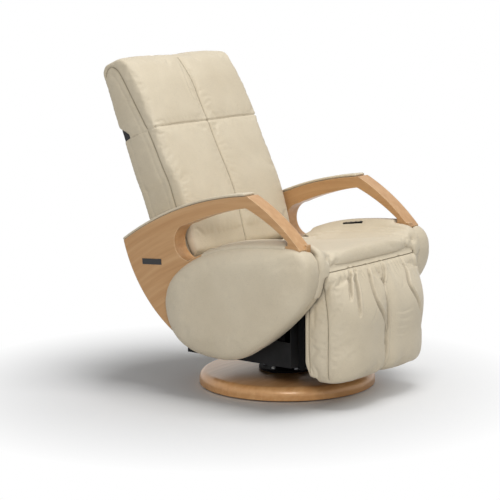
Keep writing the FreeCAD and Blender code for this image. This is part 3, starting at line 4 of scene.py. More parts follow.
import bmesh
import bpy
import numpy as np
from mathutils import Matrix, Vector
from mathutils.bvhtree import BVHTree


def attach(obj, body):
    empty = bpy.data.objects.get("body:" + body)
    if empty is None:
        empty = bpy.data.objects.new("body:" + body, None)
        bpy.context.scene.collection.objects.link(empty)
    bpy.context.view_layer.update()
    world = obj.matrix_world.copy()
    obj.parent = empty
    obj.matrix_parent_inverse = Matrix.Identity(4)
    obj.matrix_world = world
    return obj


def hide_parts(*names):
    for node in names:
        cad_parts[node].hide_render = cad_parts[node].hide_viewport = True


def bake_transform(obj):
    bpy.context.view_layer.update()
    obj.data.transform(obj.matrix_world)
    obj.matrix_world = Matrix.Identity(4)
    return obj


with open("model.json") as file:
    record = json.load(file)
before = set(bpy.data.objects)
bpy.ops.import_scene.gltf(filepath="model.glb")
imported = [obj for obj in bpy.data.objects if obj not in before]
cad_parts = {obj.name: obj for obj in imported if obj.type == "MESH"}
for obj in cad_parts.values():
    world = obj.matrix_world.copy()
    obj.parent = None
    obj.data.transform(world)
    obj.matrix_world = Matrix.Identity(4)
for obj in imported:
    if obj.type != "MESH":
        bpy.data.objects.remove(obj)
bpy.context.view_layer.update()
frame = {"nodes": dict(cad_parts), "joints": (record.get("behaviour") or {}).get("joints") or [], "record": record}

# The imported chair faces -Y, and left is the sitter's, +X. Materials, lights and the camera are in metres;
# the soft pieces are shaped in millimetres.

NODES = frame["nodes"]
JOINTS = {joint["name"]: joint for joint in frame["joints"]}


def srgb(red, green, blue):
    """A colour as it looks on a screen, 0 to 255, as the linear colour that a shader takes."""
    def linear(value):
        value /= 255
        return value / 12.92 if value <= 0.04045 else ((value + 0.055) / 1.055) ** 2.4
    return linear(red), linear(green), linear(blue), 1.0


# Materials

class Shader:
    """A material whose nodes are added one by one and linked by name."""

    def __init__(self, name):
        self.material = bpy.data.materials.new(name)
        self.material.use_nodes = True
        self.tree = self.material.node_tree
        self.surface = next(n for n in self.tree.nodes if n.type == "BSDF_PRINCIPLED")
        self.place = self.node("ShaderNodeTexCoord").outputs["Object"]

    def node(self, kind, inputs=(), **settings):
        """A node with these settings and inputs, where an input is a value or another node's output."""
        made = self.tree.nodes.new(kind)
        for name, value in settings.items():
            setattr(made, name, value)
        for name, value in dict(inputs).items():
            self.feed(made.inputs[name], value)
        return made

    def feed(self, socket, value):
        if isinstance(value, bpy.types.NodeSocket):
            self.tree.links.new(value, socket)
        else:
            socket.default_value = value

    def set(self, **values):
        """Sets the surface's inputs by the short names in TITLES, or else by their own."""
        for name, value in values.items():
            self.feed(self.surface.inputs[TITLES.get(name, name.capitalize())], value)

    def math(self, operation, first, second=0.0, clamp=False):
        made = self.node("ShaderNodeMath", operation=operation, use_clamp=clamp)
        for socket, value in zip(made.inputs, (first, second)):
            self.feed(socket, value)
        return made.outputs[0]

    def stretch(self, scale, vector=None):
        return self.node("ShaderNodeMapping", {"Vector": vector or self.place, "Scale": scale}).outputs[0]

    def noise(self, scale, detail=2.0, roughness=0.5, vector=None, distortion=0.0):
        inputs = {"Vector": vector or self.place, "Scale": scale, "Detail": detail, "Roughness": roughness}
        inputs["Distortion"] = distortion
        return self.node("ShaderNodeTexNoise", inputs).outputs["Fac"]

    def cells(self, scale, vector=None, feature="F1", **more):
        inputs = {"Vector": vector or self.place, "Scale": scale, **more}
        return self.node("ShaderNodeTexVoronoi", inputs, feature=feature).outputs["Distance"]

    def ramp(self, fac, *stops):
        made = self.node("ShaderNodeValToRGB", {"Fac": fac})
        band = made.color_ramp
        while len(band.elements) < len(stops):
            band.elements.new(0.5)
        for element, (position, colour) in zip(band.elements, stops):
            element.position = position
            element.color = colour if len(colour) == 4 else (*colour, 1)
        return made.outputs["Color"]

    def blend(self, fac, first, second, mode="MIX"):
        inputs = {"Factor": fac, "A": first, "B": second}
        return self.node("ShaderNodeMix", inputs, data_type="RGBA", blend_type=mode).outputs["Result"]

    def dulled(self, colour, shade):
        return self.blend(1.0, colour, shade, "MULTIPLY")

    def mottled(self, fac, first, second, start=0.3, end=0.7):
        return self.blend(self.between(fac, 0, 1, start, end), first, second)

    def between(self, fac, low, high, start=0.0, end=1.0):
        """Low where the value is at start, high where it is at end, and held at both beyond."""
        inputs = {"Value": fac, "From Min": start, "From Max": end, "To Min": low, "To Max": high}
        return self.node("ShaderNodeMapRange", inputs).outputs["Result"]

    def apart(self):
        """The place's x, y and z."""
        return self.node("ShaderNodeSeparateXYZ", {"Vector": self.place}).outputs

    def joined(self, x, y, z):
        return self.node("ShaderNodeCombineXYZ", {"X": x, "Y": y, "Z": z}).outputs[0]

    def rounded(self, radius):
        """The facing of an edge rounded by this much, and from 0 to 1 how near the edge a point is."""
        facing = self.node("ShaderNodeBevel", {"Radius": radius}, samples=6).outputs[0]
        flat = self.node("ShaderNodeNewGeometry").outputs["Normal"]
        same = self.node("ShaderNodeVectorMath", {0: facing, 1: flat}, operation="DOT_PRODUCT")
        return facing, self.between(same.outputs["Value"], 1.0, 0.0, 0.80, 0.995)

    def bump(self, *layers, normal=None):
        """Heights in metres over the surface, each with the strength that it is given."""
        for height, distance, strength in layers:
            inputs = {"Height": height, "Distance": distance, "Strength": strength}
            if normal:
                inputs["Normal"] = normal
            normal = self.node("ShaderNodeBump", inputs).outputs["Normal"]
        self.feed(self.surface.inputs["Normal"], normal)


TITLES = {
    "specular": "Specular IOR Level",
    "coat": "Coat Weight",
    "coat_roughness": "Coat Roughness",
    "sheen": "Sheen Weight",
    "sheen_roughness": "Sheen Roughness",
    "colour": "Base Color",
    "tint": "Specular Tint",
    "coat_tint": "Coat Tint",
}


def leather(name, light, dark):
    """Soft full-grain leather: pebbles of one or two millimetres, pores, and painted shade in the creases."""
    shader = Shader(name)
    wobble = shader.noise(140, 2)
    pebble = shader.cells(620, feature="SMOOTH_F1", Smoothness=0.35)
    creases = shader.cells(240, feature="DISTANCE_TO_EDGE")
    crease = shader.math("MULTIPLY", shader.math("MINIMUM", creases, 0.12), 8.0)
    tone = shader.noise(5.5, 4, 0.55)
    cloud = shader.noise(28, 3, 0.6)
    colour = shader.blend(shader.between(tone, 0.0, 1.0, 0.32, 0.72), dark, light)
    shade = shader.between(cloud, 0.94, 1.04)
    colour = shader.dulled(colour, shader.ramp(shade, (0.0, (0, 0, 0)), (1.0, (1, 1, 1))))
    colour = shader.dulled(colour, shader.between(crease, 0.90, 1.0))
    # Painted shade: ambient occlusion darkens the colour in creases, seams and gaps.
    painted_crease_shade = shader.node("ShaderNodeAmbientOcclusion", {"Distance": 0.024}, samples=8)
    colour = shader.dulled(colour, shader.between(painted_crease_shade.outputs["AO"], 0.60, 1.0, 0.35, 0.88))
    shader.set(colour=colour, roughness=shader.between(cloud, 0.50, 0.62, 0.3, 0.7),
               specular=0.42, sheen=0.12, sheen_roughness=0.4)
    shader.bump((wobble, 0.0012, 0.25), (crease, 0.00022, 0.35), (pebble, 0.00025, 0.30))
    return shader.material


def beech_grain(shader, vector, light, mid, dark):
    """Steamed beech: long soft bands and the short dark flecks that mark this timber."""
    bands = shader.noise(1.0, 5, 0.55, shader.stretch((6, 60, 60), vector), 0.4)
    fine = shader.noise(1.0, 3, 0.7, shader.stretch((26, 900, 900), vector))
    flecks = shader.cells(1.0, shader.stretch((110, 900, 900), vector))
    fleck = shader.between(flecks, 1.0, 0.0, 0.10, 0.28)
    patches = shader.noise(1.0, 2, 0.5, shader.stretch((30, 220, 220), vector))
    fleck = shader.math("MULTIPLY", fleck, shader.between(patches, 0.0, 1.0, 0.5, 0.62), clamp=True)
    colour = shader.ramp(bands, (0.15, dark), (0.5, mid), (0.85, light))
    colour = shader.dulled(colour, shader.between(fine, 0.94, 1.03, 0.3, 0.7))
    colour = shader.blend(shader.math("MULTIPLY", fleck, 0.42), colour, dark)
    return colour, fine, fleck


def varnish(shader, colour, fine, fleck, light, gloss):
    """Satin varnish, with edges eased by hand and a painted highlight along them."""
    normal, edge = shader.rounded(0.005)
    # Painted highlight: the colour is lightened towards the given light colour along the rounded edges.
    colour = shader.blend(shader.math("MULTIPLY", edge, 0.8), colour, light)
    shader.set(colour=colour, roughness=shader.between(fine, 0.28, 0.38), specular=gloss, coat=0.5 * gloss,
               coat_roughness=0.2, tint=srgb(255, 226, 192), coat_tint=srgb(255, 232, 204))
    shader.bump((fine, 0.0001, 0.2), (fleck, 0.00006, 0.25), normal=normal)


BOARD_WIDTH = 0.085


def beech_disc(name):
    """The turned base, glued up from boards that run across the chair."""
    shader = Shader(name)
    x, y, z = shader.apart()
    board = shader.math("FLOOR", shader.math("DIVIDE", y, BOARD_WIDTH))
    along = shader.math("ADD", x, shader.math("MULTIPLY", board, 0.37))
    across = shader.math("ADD", y, shader.math("MULTIPLY", board, 1.7))
    light, mid, dark = srgb(232, 190, 140), srgb(220, 172, 120), srgb(204, 154, 102)
    colour, fine, fleck = beech_grain(shader, shader.joined(along, across, z), light, mid, dark)
    own = shader.node("ShaderNodeTexWhiteNoise", noise_dimensions="1D")
    shader.feed(own.inputs["W"], board)
    colour = shader.dulled(colour, shader.between(own.outputs["Value"], 0.94, 1.02))
    # The last colour is the painted highlight along the disc's edges.
    varnish(shader, colour, fine, fleck, srgb(240, 210, 168), 0.8)
    return shader.material


def beech_arc(name, centre):
    """The arm loops: laminations bent along the arm, so the grain runs round a far centre."""
    shader = Shader(name)
    x, y, z = shader.apart()
    back = shader.math("SUBTRACT", y, centre[0])
    up = shader.math("SUBTRACT", z, centre[1])
    squares = shader.math("ADD", shader.math("MULTIPLY", back, back), shader.math("MULTIPLY", up, up))
    radius = shader.math("SQRT", squares)
    along = shader.math("MULTIPLY", shader.math("ARCTAN2", back, up), 0.6)
    light, mid, dark = srgb(214, 176, 132), srgb(200, 158, 113), srgb(186, 142, 97)
    colour, fine, fleck = beech_grain(shader, shader.joined(along, radius, x), light, mid, dark)
    # The last colour is the painted highlight along the arm loops' edges.
    varnish(shader, colour, fine, fleck, srgb(240, 212, 172), 0.4)
    return shader.material


def plywood(name):
    shader = Shader(name)
    plies = shader.noise(1.0, 2, 0.5, shader.stretch((18, 18, 420)))
    grain = shader.noise(1.0, 4, 0.6, shader.stretch((300, 22, 300)), 0.4)
    colour = shader.mottled(grain, srgb(150, 118, 82), srgb(186, 154, 112))
    colour = shader.dulled(colour, shader.between(plies, 0.86, 1.04, 0.35, 0.65))
    shader.set(colour=colour, roughness=0.62, specular=0.3)
    shader.bump((grain, 0.0003, 0.3))
    return shader.material


def painted_steel(name):
    """Black powder coat: orange-peel in the gloss, greyer where it catches dust."""
    shader = Shader(name)
    peel = shader.noise(900, 3, 0.6)
    dust = shader.noise(14, 4, 0.6)
    colour = shader.mottled(dust, srgb(6, 6, 7), srgb(15, 15, 16), 0.35, 0.75)
    shader.set(colour=colour, roughness=shader.between(dust, 0.45, 0.6), specular=0.06)
    shader.bump((peel, 0.0002, 0.35))
    return shader.material


def bright_steel(name):
    shader = Shader(name)
    lines = shader.noise(1.0, 3, 0.7, shader.stretch((60, 1600, 1600)))
    stain = shader.noise(40, 3)
    colour = shader.mottled(stain, srgb(176, 178, 182), srgb(204, 205, 207))
    shader.set(colour=colour, metallic=1.0, roughness=shader.between(lines, 0.22, 0.42))
    shader.bump((lines, 0.00005, 0.3))
    return shader.material


def moulded_plastic(name, dark, light):
    """Injection-moulded plastic with a spark-eroded texture."""
    shader = Shader(name)
    grit = shader.cells(1500)
    haze = shader.noise(18, 3, 0.6)
    colour = shader.mottled(haze, dark, light, end=0.75)
    shader.set(colour=colour, roughness=shader.between(haze, 0.42, 0.58), specular=0.14)
    shader.bump((grit, 0.00012, 0.45))
    return shader.material


def thread(name, colour, shadow):
    """Twisted sewing thread: fine slanting strands, with painted shade between them."""
    shader = Shader(name)
    strands = shader.noise(1.0, 2, 0.5, shader.stretch((2600, 2600, 900)))
    shader.set(colour=shader.blend(strands, shadow, colour), roughness=0.75, specular=0.25)
    shader.bump((strands, 0.0002, 0.5))
    return shader.material


def black_plate(name):
    """The plain plate: satin black with a thin bright rim."""
    shader = Shader(name)
    normal, edge = shader.rounded(0.0008)
    brushed = shader.noise(1.0, 3, 0.6, shader.stretch((2000, 60, 2000)))
    colour = shader.blend(brushed, srgb(16, 16, 17), srgb(30, 30, 31))
    colour = shader.blend(shader.math("MULTIPLY", edge, 0.5), colour, srgb(120, 120, 122))
    shader.set(colour=colour, roughness=shader.between(brushed, 0.3, 0.42), specular=0.5)
    shader.bump((brushed, 0.00004, 0.3), normal=normal)
    return shader.material


def rubber(name):
    shader = Shader(name)
    haze = shader.noise(60, 3)
    colour = shader.mottled(haze, srgb(34, 34, 36), srgb(54, 54, 56))
    shader.set(colour=colour, roughness=shader.between(haze, 0.6, 0.8), specular=0.35)
    shader.bump((haze, 0.0003, 0.3))
    return shader.material


def paint(node, material):
    """Gives a carried-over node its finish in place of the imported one."""
    slots = NODES[node].data.materials
    slots.clear()
    slots.append(material)


ARM_ARC_CENTRE = (-0.204, -0.458)


def finish_nodes():
    """Every solid that stays in view gets the finish of its material slot."""
    finishes = {
        "beech": beech_arc("beech_arm_loops", ARM_ARC_CENTRE),
        "plywood": plywood("birch_plywood"),
        "leather": CREAM,
        "back_leather": CREAM,
        "black_steel": painted_steel("black_powder_coat"),
        "bright_steel": bright_steel("bright_zinc_steel"),
        "black_plastic": moulded_plastic("black_plastic", srgb(20, 20, 21), srgb(34, 34, 35)),
        "grey_plastic": moulded_plastic("grey_plastic", srgb(120, 121, 124), srgb(150, 151, 153)),
        "roller_rubber": rubber("roller_rubber"),
    }
    for part in frame["record"]["subparts"]:
        paint(part["node"], finishes[part["material_slot"]])
    paint("base_disc", beech_disc("beech_base"))
    paint("name_plate", black_plate("blank_plate"))
    paint("side_board_left", CREAM)
    paint("side_board_right", CREAM)


SIDES = {"left": 1, "right": -1}

# Soft pieces: a skin round the plain solid, filled with air between its seams, then sewn and creased

class Axes:
    """Axes of a body in millimetres: x across the chair, n towards the rear, u along the body."""

    def __init__(self, place, tilt):
        self.place = np.array(place) * 1000
        level, steep = math.cos(tilt), math.sin(tilt)
        self.turn = np.array(((1, 0, 0), (0, level, -steep), (0, steep, level)))

    def local(self, points):
        return (points - self.place) @ self.turn.T

    def world(self, points):
        return np.asarray(points, float) @ self.turn + self.place


LIFT_AXIS = JOINTS["carriage_lift"]["axis"]
CHAIR = Axes((0, 0, 0), 0)
BACK = Axes(JOINTS["back_recline"]["pos_m"], math.atan2(LIFT_AXIS[1], LIFT_AXIS[2]))
LEG = Axes(JOINTS["leg_rest_lift"]["pos_m"], 0)

# The way in which a line is dropped onto a piece, named after the side that it lands on
AIMS = {
    "front": (0, 1, 0),
    "rear": (0, -1, 0),
    "right": (1, 0, 0),
    "left": (-1, 0, 0),
    "top": (0, 0, -1),
}


def spots(piece):
    """A piece's points in millimetres."""
    flat = np.empty(len(piece.data.vertices) * 3)
    piece.data.vertices.foreach_get("co", flat)
    return flat.reshape(-1, 3) * 1000


def put(piece, where):
    """Moves a piece's points to these places in millimetres."""
    piece.data.vertices.foreach_set("co", (where / 1000).ravel())
    piece.data.update()


def outward(piece):
    """The way that the surface faces at each point."""
    flat = np.empty(len(piece.data.vertices) * 3, dtype=np.float32)
    piece.data.vertex_normals.foreach_get("vector", flat)
    return flat.reshape(-1, 3).astype(float)


def new_piece(name, data):
    """A new object in the scene: a mesh, a lamp or a camera."""
    piece = bpy.data.objects.new(name, data)
    bpy.context.scene.collection.objects.link(piece)
    return piece


def keep(piece):
    """Makes what the modifiers show into the piece's own mesh, and drops them."""
    bpy.context.view_layer.update()
    shown = piece.evaluated_get(bpy.context.evaluated_depsgraph_get())
    mesh = bpy.data.meshes.new_from_object(shown)
    old = piece.data
    piece.modifiers.clear()
    piece.data = mesh
    mesh.name = piece.name
    bpy.data.meshes.remove(old)


def closed(block):
    """The finished mesh of a block, facing outwards all round."""
    bmesh.ops.recalc_face_normals(block, faces=block.faces)
    mesh = bpy.data.meshes.new("block")
    block.to_mesh(mesh)
    block.free()
    return mesh


def prism(axes, outline, x_from, x_to):
    """A closed block with this side view, for a skin to go round."""
    block = bmesh.new()
    near, far = (
        [block.verts.new(axes.world((x, n, u)) / 1000) for n, u in outline]
        for x in (x_from, x_to)
    )
    block.faces.new(near)
    block.faces.new(reversed(far))
    for this, after in zip(range(len(near)), [*range(1, len(near)), 0]):
        block.faces.new((near[after], near[this], far[this], far[after]))
    return closed(block)


def loft(rings):
    """A closed block through rings of points in millimetres, each with as many points as the last."""
    block = bmesh.new()
    rows = [[block.verts.new(np.asarray(place) / 1000) for place in ring] for ring in rings]
    for row, after in zip(rows, rows[1:]):
        for this in range(len(row)):
            block.faces.new((row[this - 1], row[this], after[this], after[this - 1]))
    block.faces.new(rows[0])
    block.faces.new(rows[-1])
    return closed(block)


def surface(piece):
    """A piece's faces, to find where a line meets them."""
    mesh = piece.data
    return BVHTree.FromPolygons([v.co for v in mesh.vertices], [p.vertices for p in mesh.polygons])


NEXT_START = 0.0001


def crossings(tree, start, heading):
    """Each place in millimetres where a line through a piece meets it, in order."""
    found = []
    origin = Vector(np.asarray(start) / 1000)
    heading = Vector(heading)
    while True:
        hit = tree.ray_cast(origin, heading)[0]
        if hit is None:
            return found
        found.append(np.array(hit) * 1000)
        origin = hit + heading * NEXT_START


def smoother(piece, times, group=""):
    """Smooths a piece all over, or as its vertex group says."""
    smooth = piece.modifiers.new("smooth", "SMOOTH")
    smooth.factor = 0.5
    smooth.iterations = times
    smooth.vertex_group = group
    keep(piece)
    piece.vertex_groups.clear()


def weigh(piece, group, weights, steps):
    """Gives a piece's points their weights, from 0 to 1, in whole steps."""
    made = piece.vertex_groups.new(name=group)
    for level in range(1, steps + 1):
        chosen = np.flatnonzero(np.round(weights * steps) == level)
        made.add([int(index) for index in chosen], level / steps, "REPLACE")


def skin(name, nodes, blocks, voxel, softened):
    """One closed skin round some nodes and blocks, with its edges softened."""
    gathered = bmesh.new()
    for mesh in [*(NODES[node].data for node in nodes), *blocks]:
        gathered.from_mesh(mesh)
    mesh = bpy.data.meshes.new(name)
    gathered.to_mesh(mesh)
    gathered.free()
    piece = new_piece(name, mesh)
    remesh = piece.modifiers.new("skin", "REMESH")
    remesh.mode = "VOXEL"
    remesh.voxel_size = voxel / 1000
    smoother(piece, softened)
    return piece


def soften(piece, weights, times):
    """Smooths a piece where its weights say so, from 0 to 1."""
    weigh(piece, "softer", weights, 4)
    smoother(piece, times, "softer")


def unit(arrows):
    return arrows / np.maximum(np.linalg.norm(arrows, axis=1), 1e-9)[:, None]


def travelled(path):
    """How far along a path each of its points is."""
    return np.concatenate(([0], np.cumsum(np.linalg.norm(np.diff(path, axis=0), axis=1))))


def at_distances(wanted, gone, rows):
    """Rows that are known at some distances along a path, at the wanted ones."""
    return np.column_stack([np.interp(wanted, gone, column) for column in rows.T])


def smooth_path(stops, step=2.5):
    """Evenly spaced points on a smooth curve through the stops."""
    stops = np.asarray(stops, float)
    ends = np.vstack((2 * stops[0] - stops[1], stops, 2 * stops[-1] - stops[-2]))
    share = np.linspace(0, 1, 12, endpoint=False)[:, None]
    runs = [
        0.5 * (2 * b + (c - a) * share + (2 * a - 5 * b + 4 * c - d) * share ** 2
               + (3 * b - a - 3 * c + d) * share ** 3)
        for a, b, c, d in zip(ends, ends[1:], ends[2:], ends[3:])
    ]
    curve = np.vstack((*runs, stops[-1:]))
    gone = travelled(curve)
    even = np.linspace(0, gone[-1], max(2, round(gone[-1] / step) + 1))
    return at_distances(even, gone, curve)


FAR_OFF = 2000
SAME_SIDE = 0.2


class Line:
    """A seam or a fold, dropped onto a piece: its points, the surface's facing there, and its own side."""

    def __init__(self, tree, axes, aim, stops):
        drop = np.array(AIMS[aim], float)
        path = smooth_path(stops)
        start = np.insert(path, int(np.abs(drop).argmax()), 0, axis=1) - FAR_OFF * drop
        heading = Vector(drop @ axes.turn)
        hits = [tree.ray_cast(Vector(place / 1000), heading) for place in axes.world(start)]
        found = [(hit[0] * 1000, hit[1]) for hit in hits if hit[0] is not None]
        self.places = np.array([place for place, _ in found])
        self.facing = np.array([facing for _, facing in found])
        self.across = unit(np.cross(np.gradient(self.places, axis=0), self.facing))


def lay(piece, axes, stops):
    """Lines from rows of an aim and its stops."""
    tree = surface(piece)
    return [Line(tree, axes, aim, row) for aim, row in stops]


def measure(where, facing, line, reach):
    """For the points near a line on its side of the piece: which, how far, on which side, how far along."""
    low, high = line.places.min(axis=0) - reach, line.places.max(axis=0) + reach
    near = np.flatnonzero(np.all((where > low) & (where < high), axis=1))
    gap = where[near][:, None] - line.places[None]
    squares = (gap ** 2).sum(axis=2)
    closest = squares.argmin(axis=1)
    rows = np.arange(len(near))
    distance = np.sqrt(squares[rows, closest])
    same = (facing[near] * line.facing[closest]).sum(axis=1) > SAME_SIDE
    kept = same & (distance < reach)
    side = (gap[rows, closest] * line.across[closest]).sum(axis=1)
    along = closest / (len(line.places) - 1)
    return near[kept], distance[kept], side[kept], along[kept]


def press(piece, lines, depth, width, ridge, taper):
    """Draws the skin in along each line, with a ridge on the line's own side. A taper fades the ends."""
    where = spots(piece)
    facing = outward(piece)
    move = np.zeros(len(where))
    for line in lines:
        near, distance, side, along = measure(where, facing, line, 4 * width)
        ends = np.sin(math.pi * np.clip(along, 0.02, 0.98)) ** taper
        groove = -depth * np.exp(-(distance / width) ** 2)
        beside = np.exp(-((side - 1.7 * width) / width) ** 2 - (distance ** 2 - side ** 2) / width ** 2)
        move[near] += ends * (groove + ridge * beside)
    put(piece, where + move[:, None] * facing)


def swell(piece, heights):
    """Moves the skin along its normals by a formula of its points."""
    where = spots(piece)
    put(piece, where + heights(where)[:, None] * outward(piece))


def nearness(piece, lines, width):
    """How firmly each point is held by the seams, from 0 to 1."""
    where = spots(piece)
    facing = outward(piece)
    held = np.zeros(len(where))
    for line in lines:
        near, distance, _, _ = measure(where, facing, line, 3 * width)
        held[near] = np.maximum(held[near], np.exp(-(distance / width) ** 2))
    return held


AIR_FRAMES = 20
CLOTH = {
    "quality": 4,
    "mass": 0.3,
    "tension_stiffness": 15,
    "compression_stiffness": 15,
    "shear_stiffness": 8,
    "bending_stiffness": 1.5,
    "air_damping": 2,
    "use_pressure": True,
    "vertex_group_mass": "held",
}


def inflate(airs):
    """Fills the pieces with air together. Each has its held points, pressure, slack and furthest move."""
    for piece, held, pressure, slack, _ in airs:
        weigh(piece, "held", held, 5)
        cloth = piece.modifiers.new("air", "CLOTH")
        for name, value in CLOTH.items():
            setattr(cloth.settings, name, value)
        cloth.settings.uniform_pressure_force = pressure
        cloth.settings.shrink_min = -slack
        cloth.settings.effector_weights.gravity = 0
        cloth.point_cache.frame_start = 1
        cloth.point_cache.frame_end = AIR_FRAMES
    for number in range(1, AIR_FRAMES + 1):
        bpy.context.scene.frame_set(number)
    graph = bpy.context.evaluated_depsgraph_get()
    for piece, _, _, _, furthest in airs:
        before = spots(piece)
        shown = piece.evaluated_get(graph)
        flat = np.empty(len(before) * 3)
        shown.data.vertices.foreach_get("co", flat)
        move = flat.reshape(-1, 3) * 1000 - before
        length = np.maximum(np.linalg.norm(move, axis=1), 1e-6)
        put(piece, before + move * (furthest * np.tanh(length / furthest) / length)[:, None])
        piece.modifiers.clear()
        piece.vertex_groups.clear()
    bpy.context.scene.frame_set(1)


def refine(piece):
    """Four faces for one, and smooth shading."""
    finer = piece.modifiers.new("finer", "SUBSURF")
    finer.levels = 1
    finer.render_levels = 1
    keep(piece)
    piece.data.polygons.foreach_set("use_smooth", [True] * len(piece.data.polygons))
    piece.data.update()


def mirrored_stops(stops):
    """The same lines on both sides of the chair."""
    both = []
    for aim, row in stops:
        both.append((aim, row))
        if aim == "right":
            both.append(("left", row))
        else:
            both.append((aim, [(-x, other) for x, other in row]))
    return both


def ease(value, low, high):
    """From 0 at low to 1 at high, smoothly."""
    share = np.clip((value - low) / (high - low), 0, 1)
    return share * share * (3 - 2 * share)


# Backrest

BACK_SIDE = 268
BACK_FLAT = 262
FLAP_SIDE = 273.6
FLAP_EDGE = 566
LUMBAR_LEVEL = 270
LUMBAR_RISE = 21
BACK_REAR = 95
BACK_WIDENING = 5.5
SHOULDER = 519
MECHANISM_PASSAGE = [(-125, -38), (125, -38), (125, 88), (-125, 88)]
BACK_MIDDLE = [("front", [(0, 76), (0, 517)])]
BACK_EDGES = mirrored_stops([
    ("right", [(-36, 80), (-35, 264), (-36, 336), (-30, 435), (-20, 517)]),
])
BACK_BANDS = mirrored_stops([
    ("right", [(-15, 80), (-12, 264), (-13, 336), (-7, 435), (2, 517)]),
    ("right", [(66, 80), (66, 300), (66, 516)]),
])
HEAD_MIDDLE = [
    ("front", [(0, 523), (0, 762)]),
    ("top", [(0, 4), (0, 88)]),
    ("rear", [(0, 566), (0, 756)]),
]
HEAD_EDGES = mirrored_stops([
    ("right", [(-20, 523), (4, 640), (16, 700), (28, 742), (48, 764), (70, 762), (88, 742)]),
    ("rear", [(-256, 566), (-256, 752)]),
])
HEAD_BANDS = mirrored_stops([
    ("right", [(2, 524), (24, 630), (38, 700), (52, 740)]),
])
BACK_SEAMS = BACK_MIDDLE + BACK_EDGES + HEAD_MIDDLE + HEAD_EDGES
SHOULDER_SEAM = [("front", [(-270, 520), (-130, 520), (0, 520), (130, 520), (270, 520)])]
SHOULDER_SIDES = [(side, [(-50, 520), (20, 520), (64, 521)]) for side in ("right", "left")]
HEAD_FOLDS = [
    ("front", [(-6, 752), (-22, 705), (-34, 650), (-28, 595), (-8, 548)]),
    ("front", [(8, 750), (15, 705), (14, 655), (7, 610)]),
]
HEAD_CREASES = [
    ("front", [(6, 596), (34, 606), (58, 602)]),
    ("front", [(8, 570), (26, 584), (52, 588)]),
    ("right", [(30, 748), (46, 757), (64, 756)]),
    ("right", [(30, 548), (52, 556), (80, 574)]),
    ("right", [(10, 540), (36, 536), (60, 546)]),
]


def whole_back():
    """The back's cover and the head cushion's in one skin, so that they meet flush at their seam."""
    cover = [(-53, 84), (-20, 73), (BACK_REAR, 73), (BACK_REAR, SHOULDER - 1), (-53, SHOULDER + 4)]
    crown = [(-50, SHOULDER), (58, SHOULDER + 4), (96, FLAP_EDGE), (96, 740), (8, 745), (-40, 640)]
    flap = [(-50, SHOULDER - 2), (58, SHOULDER + 2), (100, FLAP_EDGE), (100, 640), (-40, 640)]
    blocks = [prism(BACK, cover, -BACK_FLAT, BACK_FLAT)]
    blocks += [prism(BACK, cover[1:4] + [(-20, SHOULDER + 4)], -BACK_SIDE, BACK_SIDE)]
    blocks += [prism(BACK, crown, -BACK_SIDE, BACK_SIDE)]
    blocks += [prism(BACK, flap, turn * BACK_FLAT, turn * FLAP_SIDE) for turn in (-1, 1)]
    piece = skin("back_cushion", ["back_pad", "head_pad"], blocks, voxel=5.5, softened=4)
    where = spots(piece)
    x, n, u = BACK.local(where).T
    wider = BACK_WIDENING * ease(u, 320, 400) * (u < SHOULDER + 6) * (np.abs(x) < 271)
    where[:, 0] += np.sign(x) * wider * ease(np.abs(x), 150, 262)
    fuller = (LUMBAR_RISE * np.exp(-((u - LUMBAR_LEVEL) / 150) ** 2) + 5) * (1 - ease(u, 640, 750))
    where = BACK.local(where)
    where[:, 1] -= fuller * (1 - ease(n, -40, 30))
    put(piece, BACK.world(where))
    soften(piece, 1 - ease(n, -20, 25), 26)
    return piece


def split(piece, name, axes, level, passage):
    """Cuts a piece in two at a level, and names the upper one. Both keep a passage through the cut."""
    upper = new_piece(name, piece.data.copy())
    middle = Vector(axes.world((0, 0, level)) / 1000)
    along = Vector(np.array((0, 0, 1)) @ axes.turn)
    for part, outer in ((piece, True), (upper, False)):
        cut = bmesh.new()
        cut.from_mesh(part.data)
        everything = [*cut.verts, *cut.edges, *cut.faces]
        made = bmesh.ops.bisect_plane(
            cut, geom=everything, plane_co=middle, plane_no=along, clear_outer=outer, clear_inner=not outer
        )
        rim = [edge for edge in made["geom_cut"] if isinstance(edge, bmesh.types.BMEdge)]
        corners = [cut.verts.new(axes.world((x, n, level)) / 1000) for x, n in passage]
        rim += [cut.edges.new(pair) for pair in zip(corners, corners[1:] + corners[:1])]
        bmesh.ops.triangle_fill(cut, use_beauty=True, edges=rim, normal=along if outer else -along)
        cut.to_mesh(part.data)
        cut.free()
    return upper


def back_lining():
    """The black cloth in the notch between the head cushion's flap and the back's cover, dark to stand in for the
    notch's shade too.
    """
    low, high = SHOULDER - 8, FLAP_EDGE
    side = [(-8, low), (BACK_REAR, low), (BACK_REAR, high), (-8, high)]
    rear = [(88, low), (BACK_REAR, low), (BACK_REAR, high), (88, high)]
    blocks = [prism(BACK, side, turn * 135, turn * (BACK_SIDE - 0.5)) for turn in (-1, 1)]
    blocks += [prism(BACK, rear, -137, 137)]
    return skin("back_lining", [], blocks, voxel=4, softened=1)


# Seat

SEAT_NODES = ("seat_cushion", "inner_bolster_left", "inner_bolster_right")
SEAT_SIDE = 150
ROLL_SIDE = 252
RAMP_FRONT = -334
RAMP_FOOT = 456
SEAT_EDGES = mirrored_stops([
    ("top", [(-243, -180), (-243, -250), (-243, -338)]),
])


def bolster_crest(side):
    """The top of the roll along the side board, from front to rear."""
    edge = spots(NODES[f"inner_bolster_{side}"])
    stations = np.linspace(edge[:, 1].min() + 12, edge[:, 1].max() - 2, 24)
    return [(y, edge[np.abs(edge[:, 1] - y) < 16, 2].max()) for y in stations]


